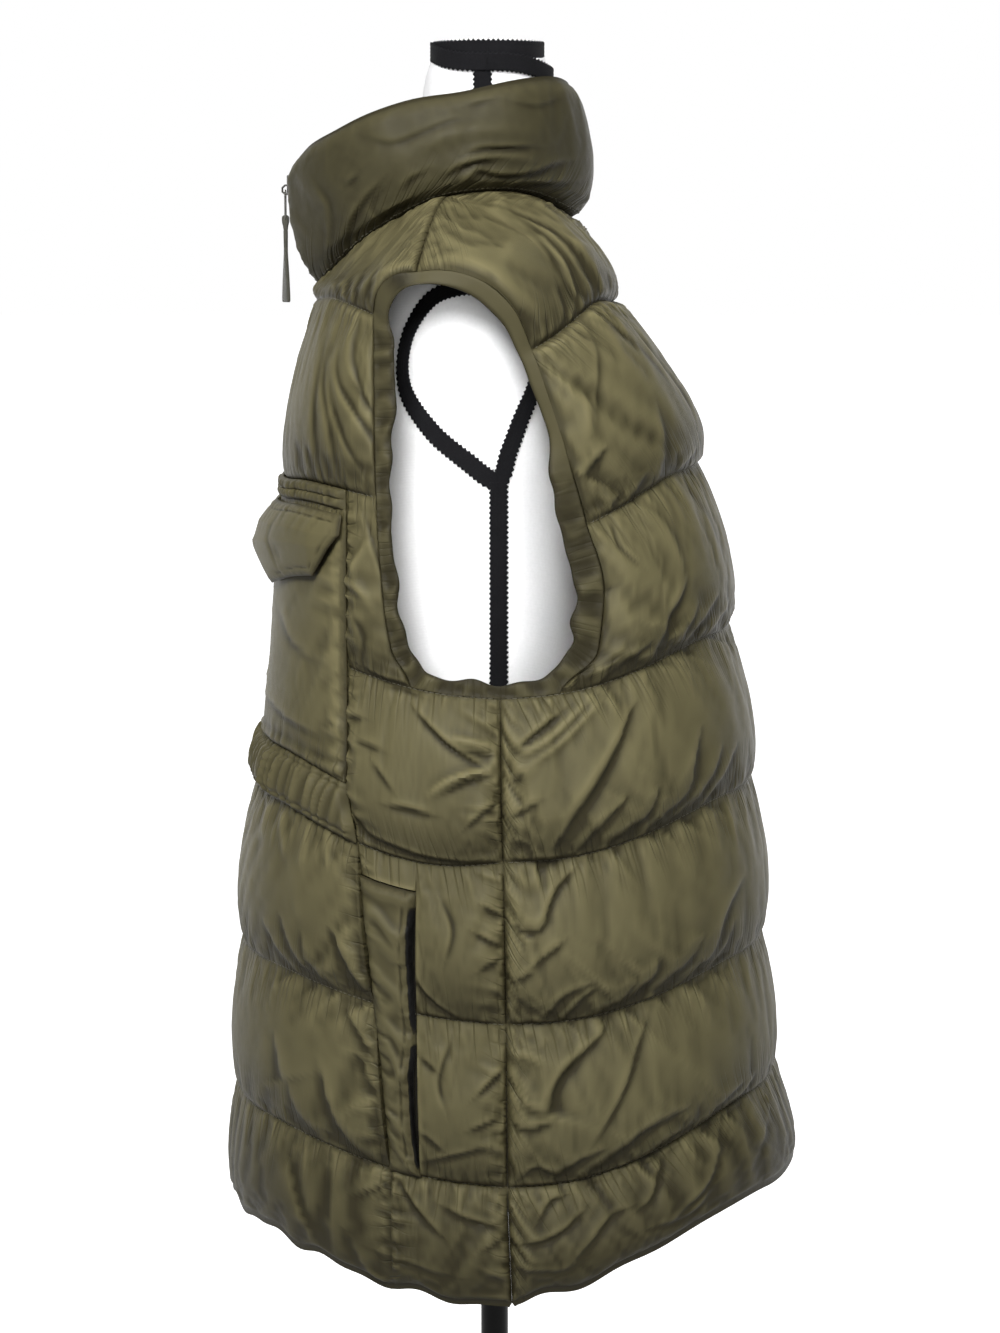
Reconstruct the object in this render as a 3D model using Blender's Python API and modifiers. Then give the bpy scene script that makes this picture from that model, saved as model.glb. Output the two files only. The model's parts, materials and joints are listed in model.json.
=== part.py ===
"""Long quilted puffer vest, zipped up, worn by a limbless dress form on a pole stand.

Metres, +Z up. The origin is the centre of the base plate's underside, on the pole's axis. The vest's
front faces -Y and the wearer's left side is +X. Tables and sizes below are in millimetres and are
turned into metres by MM.

Every cloth piece is a wall cut from one of three smooth surfaces (front, back, collar). A surface's
rows are level rings, each a quarter of a superellipse from the centre line to the side. The wall's
inner face lies on the surface; its outer face stands off by the padding, thin at each stitch line and
full between them.
"""

import math

import bmesh
import bpy
import numpy as np

MM = 0.001
SEAM_GAP = 0.3          # between neighbouring pieces
STITCH_WALL = 4.0       # padded wall where a stitch line holds it down
FLAT_WALL = 3.0         # cloth layer under a laid-on pocket or casing
ZIP_HALF_GAP = 5.5      # centre line to each front edge
RING_POWER = 2.4        # superellipse exponent of the vest's level rings
SAMPLES = 240           # along each ring, before it is divided

# Rings of the front, from the top. z_mid, y_mid: at the centre line. z_side: at the side.
# reach, y_side: the ring's widest point. y_seam: the side-front seam. y_arm: the armhole column.
# rise: how far the ring arches up between the centre and the side.
FRONT_RINGS = [
    # name         z_mid  z_side  y_mid   reach  y_side  y_seam  y_arm  rise
    ("line_1",     1221, 1200, -122.0, 192, -10, -98, -77, 6),
    ("yoke",       1098, 1082, -144.5, 200, -8, -95, -76, 9),
    ("arm_mid",    1046, 1028, -145.5, 204, -4, -95, -72, 6),
    ("arm_low",    1012, 987, -146.2, 206, 0, -95, -66, 4),
    ("line_3",     988, 965.5, -147.5, 207, 4, -95, -54, 3),
    ("casing_top", 920, 893, -157.5, 212, 5, -95, -53, -2),
    ("line_4",     886, 858.5, -166.0, 214, 6, -89, -50, -4),
    ("line_5",     772, 750.5, -178.0, 218, 8, -77, -50, 4),
    ("line_6",     666, 641, -182.5, 223, 9, -67, -48, 5),
    ("hem",        594, 565, -189.0, 228, 12, -64, -48, 4),
]
BACK_RINGS = [
    ("line_1",     1218, 1178, 80.5, 192, -20, 52, 23, 9),
    ("line_2",     1108, 1072, 141.0, 199, -10, 94, 60, -4),
    ("arm_mid",    1060, 1026, 153.0, 203, -4, 105, 71, -2),
    ("arm_low",    1020, 988, 159.5, 206, 1, 105, 67, 0),
    ("line_3",     995, 966, 163.4, 207, 4, 105, 43, 2),
    ("line_4",     888, 858.5, 180.4, 214, 6, 110, 50, 2),
    ("line_5",     777, 750.5, 189.0, 218, 8, 115, 52, 2),
    ("line_6",     679, 641, 198.0, 223, 9, 115, 55, 4),
    ("hem",        616, 566, 215.0, 228, 12, 120, 58, 15),
]
# The seam that joins the collar to the body, from centre front round to centre back.
NECK_SEAM = [
    # x, y, z
    (0, -119.5, 1229),
    (50, -96.0, 1254),
    (75, -62.0, 1278),
    (84, -31.9, 1291),
    (74, 4.0, 1295),
    (49, 28.5, 1291),
    (0, 52.5, 1278),
]
SHOULDER_NECK = 3       # the row of NECK_SEAM where the shoulder seam starts
SHOULDER_TIP = (180, -50, 1240)
SHOULDER_RISE = 7.0     # how far the shoulder seam bows upward
FRONT_SHOULDER_BOW = (1.0, 6.0)   # at the centre line and at the arm edge
BACK_SHOULDER_BOW = (1.0, 15.0)
# The collar's upper edge, from centre front round to centre back.
COLLAR_RIM = [
    (0, -138.5, 1314),
    (36, -126.0, 1326),
    (62, -108.0, 1335),
    (80, -84.0, 1346),
    (86, -55.0, 1355),
    (87, -22.0, 1360),
    (80, 12.0, 1368),
    (56, 36.0, 1372),
    (28, 48.5, 1370),
    (0, 52.0, 1364),
]
COLLAR_BOW = (5.0, 0.5)  # how far its mid height stands out of a straight funnel: front, back

CENTRE_SEGMENTS = 8     # front columns from the zip to the side-front seam
SIDE_SEGMENTS = 4       # from that seam to the armhole column
UNDERARM_SEGMENTS = 3   # from the armhole column to the side seam
BACK_SEGMENTS = (7, 4, 3)
SIDES = (("left", 1), ("right", -1))

# Padding of each channel from the shoulder down, added to STITCH_WALL at its fullest.
FRONT_FULL = (8.0, 8.5, 7.5, 8.0, 7.5, 7.5, 7.0)
BACK_FULL = (8.0, 8.0, 8.5, 8.0, 7.5, 7.5, 6.5)
COLLAR_FULL = 8.0
COLLAR_FOOT_SHARE = 0.7  # of the padding just above the neck seam
NECK_CORNER_SHARE = 0.4  # of it on both sides of the seam, at the shoulder
NECK_SMOOTHING = 3      # passes over the directions in which the neck seam's edges face
COLLAR_RIM_PAD = 2.0
COLLAR_ROWS = (0.0, 0.16, 0.5, 0.84, 1.0)
LAID_GAP = 0.35         # under a piece that lies on another
POCKET_LIP = 8.0        # wall beside the hand pocket's slit
POCKET_EDGE = 2.5
POCKET_FULL = 4.5
STRIP_ROWS = (0.0, 0.3, 0.7, 1.0)
STRIP_EDGE = 2.0
STRIP_FULL = 2.5
CASING_ROWS = (0.0, 0.14, 0.5, 0.86, 1.0)
CASING_EDGE = 2.5
CASING_FULL = 7.0
RUCHE = 0.16            # share by which the gathers of a ruched piece rise and fall
WELT_EDGE = 4.0
WELT_FULL = 4.0
# The chest pocket's flap, placed in shares of the pocket's width and height.
FLAP_GRID = (6, 9)
FLAP_FIRST = 0.0
FLAP_LAST = 1.0
FLAP_TOP = 0.03
FLAP_DROP = 0.28
FLAP_CLIP = 0.2
FLAP_CLIP_FROM = 0.5
FLAP_GAP = 0.9
FLAP_LIFT = 4.0
FLAP_LIFT_FRONT = 9.0
FLAP_EDGE = 3.0
FLAP_FULL = 7.0
# The armhole band. Its section runs from the seam over the outside and back along the inside.
BAND_SEAM_SHIFT = 0.35   # the band's own half of the gap to the panels
BAND_WIDTH = 20.0
BAND_TOP_WIDTH = 16.0
BAND_NARROW_FROM = 1195.0
BAND_PROFILE = [
    # reach, height, wave
    (0.5, 6.5, 0.9),
    (0.93, 4.6, 0.6),
    (1.0, 2.0, 0.0),
    (0.6, -0.3, 0.0),
]

MATERIALS = {
    # name: (base colour, roughness, metallic)
    "nylon_olive": ((0.105, 0.095, 0.055, 1), 0.38, 0.0),
    "webbing": ((0.055, 0.052, 0.036, 1), 0.75, 0.0),
    "zip_coil": ((0.03, 0.03, 0.024, 1), 0.45, 0.0),
    "gunmetal": ((0.16, 0.155, 0.145, 1), 0.32, 1.0),
    "form_cloth": ((0.80, 0.80, 0.80, 1), 0.8, 0.0),
    "black_tape": ((0.012, 0.012, 0.014, 1), 0.8, 0.0),
    "black_steel": ((0.012, 0.012, 0.012, 1), 0.25, 0.0),
}

# The dress form: one level superellipse per row, from the neck's top down.
FORM_POWER = 2.15
FORM_ROWS = [
    # z, half_width, y_front, y_back
    (1394, 40.0, -41.5, 33.5),
    (1376, 41.0, -48.0, 38.5),
    (1350, 42.5, -52.0, 40.0),
    (1322, 45.0, -55.0, 39.0),
    (1302, 52.0, -58.0, 38.0),
    (1290, 73.0, -62.0, 38.0),
    (1282, 87.7, -66.0, 42.0),
    (1270, 103.0, -72.0, 49.0),
    (1256, 120.0, -78.0, 54.0),
    (1240, 140.0, -83.0, 60.0),
    (1222, 151.0, -89.0, 66.0),
    (1190, 156.0, -96.0, 71.0),
    (1140, 155.0, -105.0, 76.0),
    (1080, 150.0, -111.0, 78.0),
    (1020, 146.0, -108.0, 75.0),
    (960, 140.0, -99.0, 70.0),
    (900, 132.0, -90.0, 68.0),
    (850, 130.0, -88.0, 73.0),
    (790, 139.0, -91.0, 83.0),
    (730, 148.0, -95.0, 91.0),
    (690, 148.0, -94.0, 92.0),
]
FORM_AROUND = 28
TAPE_WIDTH = 14.0
TAPE_THICK = 1.2
TAPE_LIFT = 0.35        # between the form and the tape on it
NECK_TAPE_DROP = 14.0
# Tape paths on the form's left side, as seen from the side.
ARM_TAPE = [
    # y, z
    (4, 1229), (-22, 1231), (-43, 1222), (-58, 1196), (-59, 1165), (-42, 1138),
    (-19, 1118), (2, 1104), (10, 1124), (17, 1143), (28, 1172), (28, 1200), (20, 1219),
]
SIDE_TAPE_TOP = 1094.0
SIDE_TAPE_END = 700.0
SIDE_TAPE_Y = 3.0
SHOULDER_TAPE_Y = -8.0
SHOULDER_TAPE_END = 1240.0
SHOULDER_TAPE_LIFT = 0.5
CAP_THICK = 6.0
POLE_RADIUS = 10.0
BASE_RADIUS = 160.0
BASE_THICK = 7.0
HUB_RADIUS = 24.0
HUB_HEIGHT = 34.0


# The zip, on the centre line.
TAPE_HALF = 5.05        # zip tape, from the centre line outward
ZIP_TAPE_THICK = 1.0
ZIP_TAPE_BACK = -1.2    # its outer face, from the front edges' inner face
CHAIN_HALF = 3.0
CHAIN_DEPTH = 2.4
SLIDER_Z = 1301.0
SLIDER_SIZE = (9.4, 6.6, 14.0)
SLIDER_REST = 0.35
BRIDGE_RADIUS = 0.8
BRIDGE_REACH = 3.4
HINGE_DROP = 3.6        # hinge below the slider's middle
HINGE_REACH = 1.35      # hinge in front of the slider's face
LINK_RADIUS = 0.55
LINK_HALF = 4.3
LINK_LENGTH = 20.0
TAB_TOP = 2.6           # of the tab above the link's lower bar
TAB_LENGTH = 61.0
TAB_BORE = 0.95
TAB_TWIST = 28.0        # degrees, at its lower end
TAB_SECTIONS = [
    # share of length, width, thickness
    (0.0, 5.4, 3.2),
    (0.03, 6.2, 5.0),
    (0.09, 6.4, 5.0),
    (0.16, 7.0, 3.0),
    (0.4, 8.6, 2.8),
    (0.8, 9.8, 3.0),
    (0.97, 10.0, 3.0),
    (1.0, 9.4, 2.2),
]


def smoothstep(x):
    x = np.clip(x, 0.0, 1.0)
    return x * x * (3 - 2 * x)


def unit(vectors):
    length = np.linalg.norm(vectors, axis=-1, keepdims=True)
    return vectors / np.maximum(length, 1e-9)


def monotone_cubic(knots, values, at):
    """Values at `at`, on the smooth curve through the knots that never overshoots them."""
    knots = np.asarray(knots, float)
    values = np.asarray(values, float)
    at = np.asarray(at, float)
    steps = np.diff(knots)
    slopes = np.diff(values, axis=0) / steps[:, None]
    before, after = slopes[:-1], slopes[1:]
    weight_a = (2 * steps[1:] + steps[:-1])[:, None]
    weight_b = (steps[1:] + 2 * steps[:-1])[:, None]
    same_way = before * after > 0
    safe_before = np.where(same_way, before, 1.0)
    safe_after = np.where(same_way, after, 1.0)
    harmonic = (weight_a + weight_b) / (weight_a / safe_before + weight_b / safe_after)
    tangents = np.vstack([slopes[:1], np.where(same_way, harmonic, 0.0), slopes[-1:]])
    low = np.clip(np.searchsorted(knots, at, side="right") - 1, 0, len(knots) - 2)
    span = steps[low][:, None]
    t = (at - knots[low])[:, None] / span
    return (
        (1 + 2 * t) * (1 - t) ** 2 * values[low]
        + t * (1 - t) ** 2 * span * tangents[low]
        + t * t * (3 - 2 * t) * values[low + 1]
        + t * t * (t - 1) * span * tangents[low + 1]
    )


def catmull_rom(points, per_span):
    """Points on a smooth curve through `points`, per_span steps between each two of them."""
    points = np.asarray(points, float)
    padded = np.vstack([2 * points[0] - points[1], points, 2 * points[-1] - points[-2]])
    steps = np.linspace(0, 1, per_span, endpoint=False)[:, None]
    curve = []
    for a, b, c, d in zip(padded, padded[1:], padded[2:], padded[3:]):
        curve.append(0.5 * (2 * b + (c - a) * steps + (2 * a - 5 * b + 4 * c - d) * steps**2
                            + (3 * b - a - 3 * c + d) * steps**3))
    return np.vstack(curve + [points[-1:]])


def symmetric_curve(half):
    """A dense curve through a half outline, which leaves each centre line at right angles."""
    half = np.asarray(half, float)
    flip = np.array([-1, 1, 1])
    whole = np.vstack([half[1:2] * flip, half, half[-2:-1] * flip])
    per_span = 24
    return catmull_rom(whole, per_span)[per_span:-per_span]


def run_of(curve):
    return np.concatenate([[0], np.cumsum(np.linalg.norm(np.diff(curve, axis=0), axis=1))])


def along(curve, fractions, start=0.0):
    """Points of a curve at fractions of its length, the first `start` millimetres left out."""
    run = run_of(curve)
    at = start + np.asarray(fractions) * (run[-1] - start)
    return np.stack([np.interp(at, run, curve[:, k]) for k in range(3)], axis=-1)


# --- the body's two surfaces -----------------------------------------------------------------

LEVELS = np.array([0, 0.2, 0.5, 0.8, 1, 1.2, 1.5, 1.8, 2, 2.1, 2.25, 2.5, 2.8,
                   3, 3.2, 3.5, 3.65, 3.8, 4, 4.2, 4.5, 4.8, 5, 5.2, 5.5, 5.8,
                   6, 6.2, 6.5, 6.8, 7])
RING_LEVELS = {"line_1": 1, "line_2": 2, "yoke": 2, "arm_mid": 2.45, "arm_low": 2.78, "line_3": 3,
               "casing_top": 3.65, "line_4": 4, "line_5": 5, "line_6": 6, "hem": 7}


def row_of(level):
    return int(np.argmin(np.abs(LEVELS - level)))


def column_places(segments):
    """Column coordinates: 0 to 1 reaches the seam column, 2 the armhole column, 3 the side."""
    stretches = [k + np.arange(n) / n for k, n in enumerate(segments)]
    return np.concatenate(stretches + [[3.0]])


def ring_points(ring, columns, start):
    """Points of one level ring at the column coordinates."""
    _, z_mid, z_side, y_mid, reach, y_side, y_seam, y_arm, rise = ring
    angle = np.linspace(0, math.pi / 2, SAMPLES)
    x = reach * np.sin(angle) ** (2 / RING_POWER)
    y = y_side + (y_mid - y_side) * np.cos(angle) ** (2 / RING_POWER)
    run = run_of(np.stack([x, y], axis=-1))
    toward_side = math.copysign(1, y_side - y_mid)
    stops = np.interp([toward_side * y_seam, toward_side * y_arm], toward_side * y, run)
    at = np.interp(columns, [0, 1, 2, 3], [start, *stops, run[-1]])
    way = at / run[-1]
    fall = smoothstep((way - 0.42) / 0.5)
    height = z_mid + (z_side - z_mid) * fall + rise * np.sin(math.pi * way ** 2.5)
    return np.stack([np.interp(at, run, x), np.interp(at, run, y), height], axis=-1)


def shoulder_seam(fractions):
    neck = np.array(NECK_SEAM[SHOULDER_NECK], float)
    tip = np.array(SHOULDER_TIP, float)
    t = np.asarray(fractions)[:, None]
    rise = np.array([0, 0, 4 * SHOULDER_RISE]) * t * (1 - t)
    return neck + (tip - neck) * t + rise


def top_row(columns, front):
    """The body's upper edge: along the collar seam, then along the shoulder seam."""
    curve = symmetric_curve(NECK_SEAM)
    corner = int(np.argmin(np.linalg.norm(curve - NECK_SEAM[SHOULDER_NECK], axis=1)))
    part = curve[:corner + 1] if front else curve[corner:][::-1]
    neck = along(part, columns[columns <= 1], ZIP_HALF_GAP if front else 0.0)
    out = shoulder_seam(columns[columns > 1] - 1)
    return np.vstack([neck, out])


def body_surface(rings, segments, front):
    """The inner face of the front or back, as rows of points at LEVELS."""
    columns = column_places(segments)
    start = ZIP_HALF_GAP if front else 0.0
    table = np.array([ring_points(ring, columns, start) for ring in rings])
    knots = [RING_LEVELS[ring[0]] for ring in rings]
    surface = np.zeros((len(LEVELS), len(columns), 3))
    below = LEVELS >= 1
    for j in range(len(columns)):
        surface[below, j] = monotone_cubic(knots, table[:, j], LEVELS[below])
    top = top_row(columns, front)
    line = surface[row_of(1)]
    reach = np.clip(columns / 2, 0, 1)[:, None]
    toward = np.array([0, -0.45, 0.8]) if front else np.array([0, 0.35, 0.8])
    low, high = FRONT_SHOULDER_BOW if front else BACK_SHOULDER_BOW
    bow = (low + (high - low) * reach) * unit(toward + reach * [0.25, 0, 0])
    for i in np.flatnonzero(~below):
        s = LEVELS[i]
        surface[i] = top * (1 - s) + line * s + 4 * s * (1 - s) * bow
    return surface


def normals_of(surface, outward_y):
    """Unit normals of a grid of points, on the side away from the wearer."""
    across = np.gradient(surface, axis=1)
    down = np.gradient(surface, axis=0)
    normal = unit(np.cross(down, across))
    middle = normal[len(normal) // 2, 2]
    return normal if middle[1] * outward_y > 0 else -normal


def share(a, b):
    """The mean direction of two runs of normals, for the seam where two pieces meet."""
    return unit(a + b)


def channel_fullness(level):
    """0 on a stitch line, 1 between two of them."""
    f = level - math.floor(level)
    return (1 - abs(2 * f - 1) ** 2.5) ** 0.6


# --- meshes ------------------------------------------------------------------------------------

def make_material(name):
    colour, roughness, metallic = MATERIALS[name]
    material = bpy.data.materials.new(name)
    material.use_nodes = True
    shader = material.node_tree.nodes["Principled BSDF"]
    shader.inputs["Base Color"].default_value = colour
    shader.inputs["Roughness"].default_value = roughness
    shader.inputs["Metallic"].default_value = metallic
    material.diffuse_color = colour
    return material


def add_object(name, bm, material):
    """A new object from a bmesh, in metres, with its faces pointing out."""
    if bm.calc_volume(signed=True) < 0:
        bmesh.ops.reverse_faces(bm, faces=bm.faces)
    mesh = bpy.data.meshes.new(name)
    bm.to_mesh(mesh)
    bm.free()
    mesh.materials.append(MADE[material])
    mesh.shade_smooth()
    mesh.set_sharp_from_angle(angle=math.radians(40))
    obj = bpy.data.objects.new(name, mesh)
    PARTS.objects.link(obj)
    return obj


def wall(name, inner, outer, keep=None, material="nylon_olive", side=1, open_at_centre=False):
    """A closed wall between two grids of points. `keep` marks the cells that belong to it."""
    rows, columns = inner.shape[:2]
    if keep is None:
        keep = np.ones((rows - 1, columns - 1), bool)
    inner = part_from_neighbours(inner, keep, open_at_centre)
    outer = part_from_neighbours(outer, keep, open_at_centre)
    bm = bmesh.new()
    bmesh.ops.create_grid(bm, x_segments=columns - 1, y_segments=rows - 1, size=0.5)
    place = bm.verts.layers.int.new("place")
    for k, vert in enumerate(bm.verts):
        vert[place] = k
    spare = []
    for face in bm.faces:
        corner = min(vert[place] for vert in face.verts)
        if not keep[corner // columns, corner % columns]:
            spare.append(face)
    bmesh.ops.delete(bm, geom=spare, context="FACES")
    flat = set(bm.verts)
    bmesh.ops.extrude_face_region(bm, geom=bm.faces[:])
    to_metres = np.array([side, 1, 1]) * MM
    for vert in bm.verts:
        grid = inner if vert in flat else outer
        vert.co = grid[vert[place] // columns, vert[place] % columns] * to_metres
    if open_at_centre:
        rim = [f for f in bm.faces if all(abs(v.co.x) < 1e-7 for v in f.verts)]
        bmesh.ops.delete(bm, geom=rim, context="FACES")
    obj = add_object(name, bm, material)
    if open_at_centre:
        mirror = obj.modifiers.new("other_half", "MIRROR")
        mirror.use_clip = True
        mirror.merge_threshold = 0.00005
    return obj


def part_from_neighbours(grid, keep, open_at_centre=False):
    """The grid with the border of its kept cells drawn in by half a seam gap."""
    rows, columns = grid.shape[:2]
    cells = np.zeros((rows + 1, columns + 1), bool)
    cells[1:-1, 1:-1] = keep
    if open_at_centre:
        cells[:, 0] = cells[:, 1]
        cells[:, -1] |= np.abs(grid[0, -1, 0]) < 1e-9
    moved = grid.copy()
    for i in range(rows):
        for j in range(columns):
            around = cells[i:i + 2, j:j + 2]
            if around.all() or not around.any():
                continue
            step = np.zeros(3)
            if (around[:, 0] & ~around[:, 1]).any() and j > 0:
                step += unit(grid[i, j - 1] - grid[i, j])
            if (around[:, 1] & ~around[:, 0]).any() and j < columns - 1:
                step += unit(grid[i, j + 1] - grid[i, j])
            if (around[0] & ~around[1]).any() and i > 0:
                step += unit(grid[i - 1, j] - grid[i, j])
            if (around[1] & ~around[0]).any() and i < rows - 1:
                step += unit(grid[i + 1, j] - grid[i, j])
            moved[i, j] += step * SEAM_GAP / 2
    return moved


def loft(name, sections, material, side=1, closed_path=False, caps=True):
    """A closed body through rings of points that have the same count."""
    sections = np.asarray(sections) * np.array([side, 1, 1]) * MM
    bm = bmesh.new()
    rings = [[bm.verts.new(point) for point in section] for section in sections]
    count = len(rings[0])
    pairs = list(zip(rings, rings[1:]))
    if closed_path:
        pairs.append((rings[-1], rings[0]))
    for a, b in pairs:
        for k in range(count):
            n = (k + 1) % count
            bm.faces.new((a[k], a[n], b[n], b[k]))
    if caps and not closed_path:
        bm.faces.new(rings[0][::-1])
        bm.faces.new(rings[-1])
    return add_object(name, bm, material)


# --- the vest ----------------------------------------------------------------------------------

def padding(columns, full, edges, gather=0.0):
    """Padding over the wall at each level and column: none on stitch lines, less at piece edges."""
    thick = np.zeros((len(LEVELS), columns))
    across = np.ones(columns)
    for column, share_left in edges.items():
        across[column] = share_left
    for i, level in enumerate(LEVELS):
        channel = min(int(level), 6)
        waves = 1 + gather * (-1.0) ** np.arange(columns)
        thick[i] = full[channel] * channel_fullness(level) * across * waves
    thick[-1] = 0.35 * full[6] * across
    return thick


def stand_off(surface, normals, thickness):
    return surface + normals * thickness[..., None]


def blend_rows(grid, rows):
    """Grid rows at fractional row numbers, straight between the grid's own rows."""
    low = np.clip(np.floor(rows).astype(int), 0, len(grid) - 2)
    t = (np.asarray(rows) - low)[:, None, None]
    return grid[low] * (1 - t) + grid[low + 1] * t


def finer(grid, rows, column_parts):
    """The grid at fractional rows, each of its columns divided in equal parts."""
    tall = blend_rows(grid, rows)
    count = (grid.shape[1] - 1) * column_parts + 1
    places = np.arange(count) / column_parts
    return np.swapaxes(blend_rows(np.swapaxes(tall, 0, 1), places), 0, 1)


def edge_profile(rows, columns, middle, row_edge=0.0, column_edge=0.0):
    """Padding of a laid-on piece: full inside, thin round its border."""
    profile = np.full((rows, columns), float(middle))
    profile[[0, -1]] *= row_edge
    profile[:, [0, -1]] *= column_edge
    return profile


def build_vest():
    """Every cloth piece of the vest."""
    front_segments = (CENTRE_SEGMENTS, SIDE_SEGMENTS, UNDERARM_SEGMENTS)
    front = body_surface(FRONT_RINGS, front_segments, True)
    back = body_surface(BACK_RINGS, BACK_SEGMENTS, False)
    line_3 = row_of(3)
    back[line_3:, -1] = front[line_3:, -1]
    front_out = normals_of(front, -1)
    back_out = normals_of(back, 1)
    back_out[:, 0, 0] = 0
    back_out[:, 0] = unit(back_out[:, 0])

    seam = CENTRE_SEGMENTS
    arm = CENTRE_SEGMENTS + SIDE_SEGMENTS
    back_seam = BACK_SEGMENTS[0]
    back_arm = BACK_SEGMENTS[0] + BACK_SEGMENTS[1]

    collar, collar_out = collar_surface(front[0, :seam + 1], back[0, :back_seam + 1])
    # Pieces that meet share their normals along the seam, so that their edges stay parallel.
    side = share(front_out[line_3:, -1], back_out[line_3:, -1])
    front_out[line_3:, -1] = side
    back_out[line_3:, -1] = side
    shoulder = share(front_out[0, seam:arm + 1], back_out[0, back_seam:back_arm + 1])
    front_out[0, seam:arm + 1] = shoulder
    back_out[0, back_seam:back_arm + 1] = shoulder
    body_neck = np.vstack([front_out[0, :seam + 1], back_out[0, :back_seam][::-1]])
    neck = share(body_neck, collar_out[0])
    for _ in range(NECK_SMOOTHING):
        neck[1:-1] = unit(neck[:-2] + 2 * neck[1:-1] + neck[2:])
    collar_out[0] = neck
    front_out[0, :seam + 1] = neck[:seam + 1]
    back_out[0, :back_seam + 1] = neck[seam:][::-1]

    front_wall = STITCH_WALL + padding(
        front.shape[1], FRONT_FULL, {0: 0.3, seam: 0.85, arm: 0.5, -1: 0.0}, 0.06)
    lower = row_of(2)
    front_wall[lower:row_of(6) + 1, seam] = STITCH_WALL
    front_wall[lower + 1:row_of(4), :seam] = FLAT_WALL
    front_wall[row_of(4.2):row_of(5.8) + 1, seam:arm] = FLAT_WALL
    front_wall[row_of(4.2):row_of(5.8) + 1, arm] = POCKET_LIP
    back_wall = STITCH_WALL + padding(back.shape[1], BACK_FULL, {back_arm: 0.6, -1: 0.0}, 0.05)
    for grid, corner_column in ((front_wall, seam), (back_wall, back_seam)):
        near = grid[1, corner_column - 1:corner_column + 2]
        near[:] = STITCH_WALL + (near - STITCH_WALL) * NECK_CORNER_SHARE
    front_face = stand_off(front, front_out, front_wall)
    back_face = stand_off(back, back_out, back_wall)

    cells = np.zeros((len(LEVELS) - 1, front.shape[1] - 1), bool)
    yoke = cells.copy()
    yoke[:row_of(2), :arm] = True
    body = cells.copy()
    body[row_of(2):, :seam] = True
    body[row_of(6):, :] = True
    side_front = cells.copy()
    side_front[row_of(2):row_of(6), seam:arm] = True
    side_front[line_3:row_of(6), arm:] = True
    whole_back = np.ones((len(LEVELS) - 1, back.shape[1] - 1), bool)
    whole_back[:line_3, back_arm:] = False
    wall("back", back, back_face, whole_back, open_at_centre=True)

    collar_wall = STITCH_WALL + collar_padding(collar.shape)
    near = collar_wall[1, seam - 1:seam + 2]
    near[:] = STITCH_WALL + (near - STITCH_WALL) * NECK_CORNER_SHARE
    wall("collar", collar, stand_off(collar, collar_out, collar_wall), open_at_centre=True)

    pocket_rows = slice(row_of(2.1), row_of(3.65) + 1)
    pocket_inner = stand_off(front, front_out, front_wall + SEAM_GAP)[pocket_rows, 1:seam + 1]
    pocket_out = front_out[pocket_rows, 1:seam + 1]
    pocket_pad = POCKET_EDGE + edge_profile(*pocket_inner.shape[:2], POCKET_FULL, 0.0, 0.0)
    pocket_pad[-1] += 0.6 * POCKET_FULL
    pocket_face = stand_off(pocket_inner, pocket_out, pocket_pad)

    for name, sign in SIDES:
        wall(f"front_yoke_{name}", front, front_face, yoke, side=sign)
        wall(f"front_body_{name}", front, front_face, body, side=sign)
        wall(f"side_front_{name}", front, front_face, side_front, side=sign)
        wall(f"chest_pocket_{name}", pocket_inner, pocket_face, side=sign)
        pocket_flap(name, sign, pocket_face, pocket_out)
        ruched_strip(f"yoke_strip_{name}", sign, front_face, front_out, (2, 2.1),
                     STRIP_ROWS, STRIP_EDGE, STRIP_FULL, 2)
        ruched_strip(f"waist_casing_{name}", sign, front_face, front_out, (3.65, 4),
                     CASING_ROWS, CASING_EDGE, CASING_FULL, 2)
        hand_pocket(name, sign, front_face, front_out, seam, arm)
        armhole_band(name, sign, (front, front_out, arm), (back, back_out, back_arm))
    return front, collar


def collar_surface(front_edge, back_edge):
    """The collar's inner face, from the neck seam up to its rim, centre front to centre back."""
    foot = np.vstack([front_edge, back_edge[:-1][::-1]])
    run = run_of(foot)
    rim = along(symmetric_curve(COLLAR_RIM), run / run[-1], ZIP_HALF_GAP)
    rim[-1, 0] = 0
    outward = unit((rim + foot) / 2 - np.array([0, -32, 0]) - np.array([0, 0, 1]) * (rim + foot) / 2)
    bow = np.interp(run / run[-1], [0.4, 1.0], COLLAR_BOW)[:, None] * outward
    grid = []
    for s in COLLAR_ROWS:
        grid.append(foot * (1 - s) + rim * s + bow * 4 * s * (1 - s))
    grid = np.array(grid)
    grid[:, -1, 0] = 0
    normals = normals_of(grid, 1)
    if normals[2, -1, 1] < 0:
        normals = -normals
    normals[:, -1, 0] = 0
    return grid, unit(normals)


def collar_padding(shape):
    pad = np.zeros(shape[:2])
    for i, s in enumerate(COLLAR_ROWS):
        pad[i] = COLLAR_FULL * (1 - abs(2 * s - 1) ** 2.5) ** 0.6
    pad[-1] = COLLAR_RIM_PAD
    pad[1, :] *= COLLAR_FOOT_SHARE
    pad[:, 0] *= 0.2
    return pad


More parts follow.
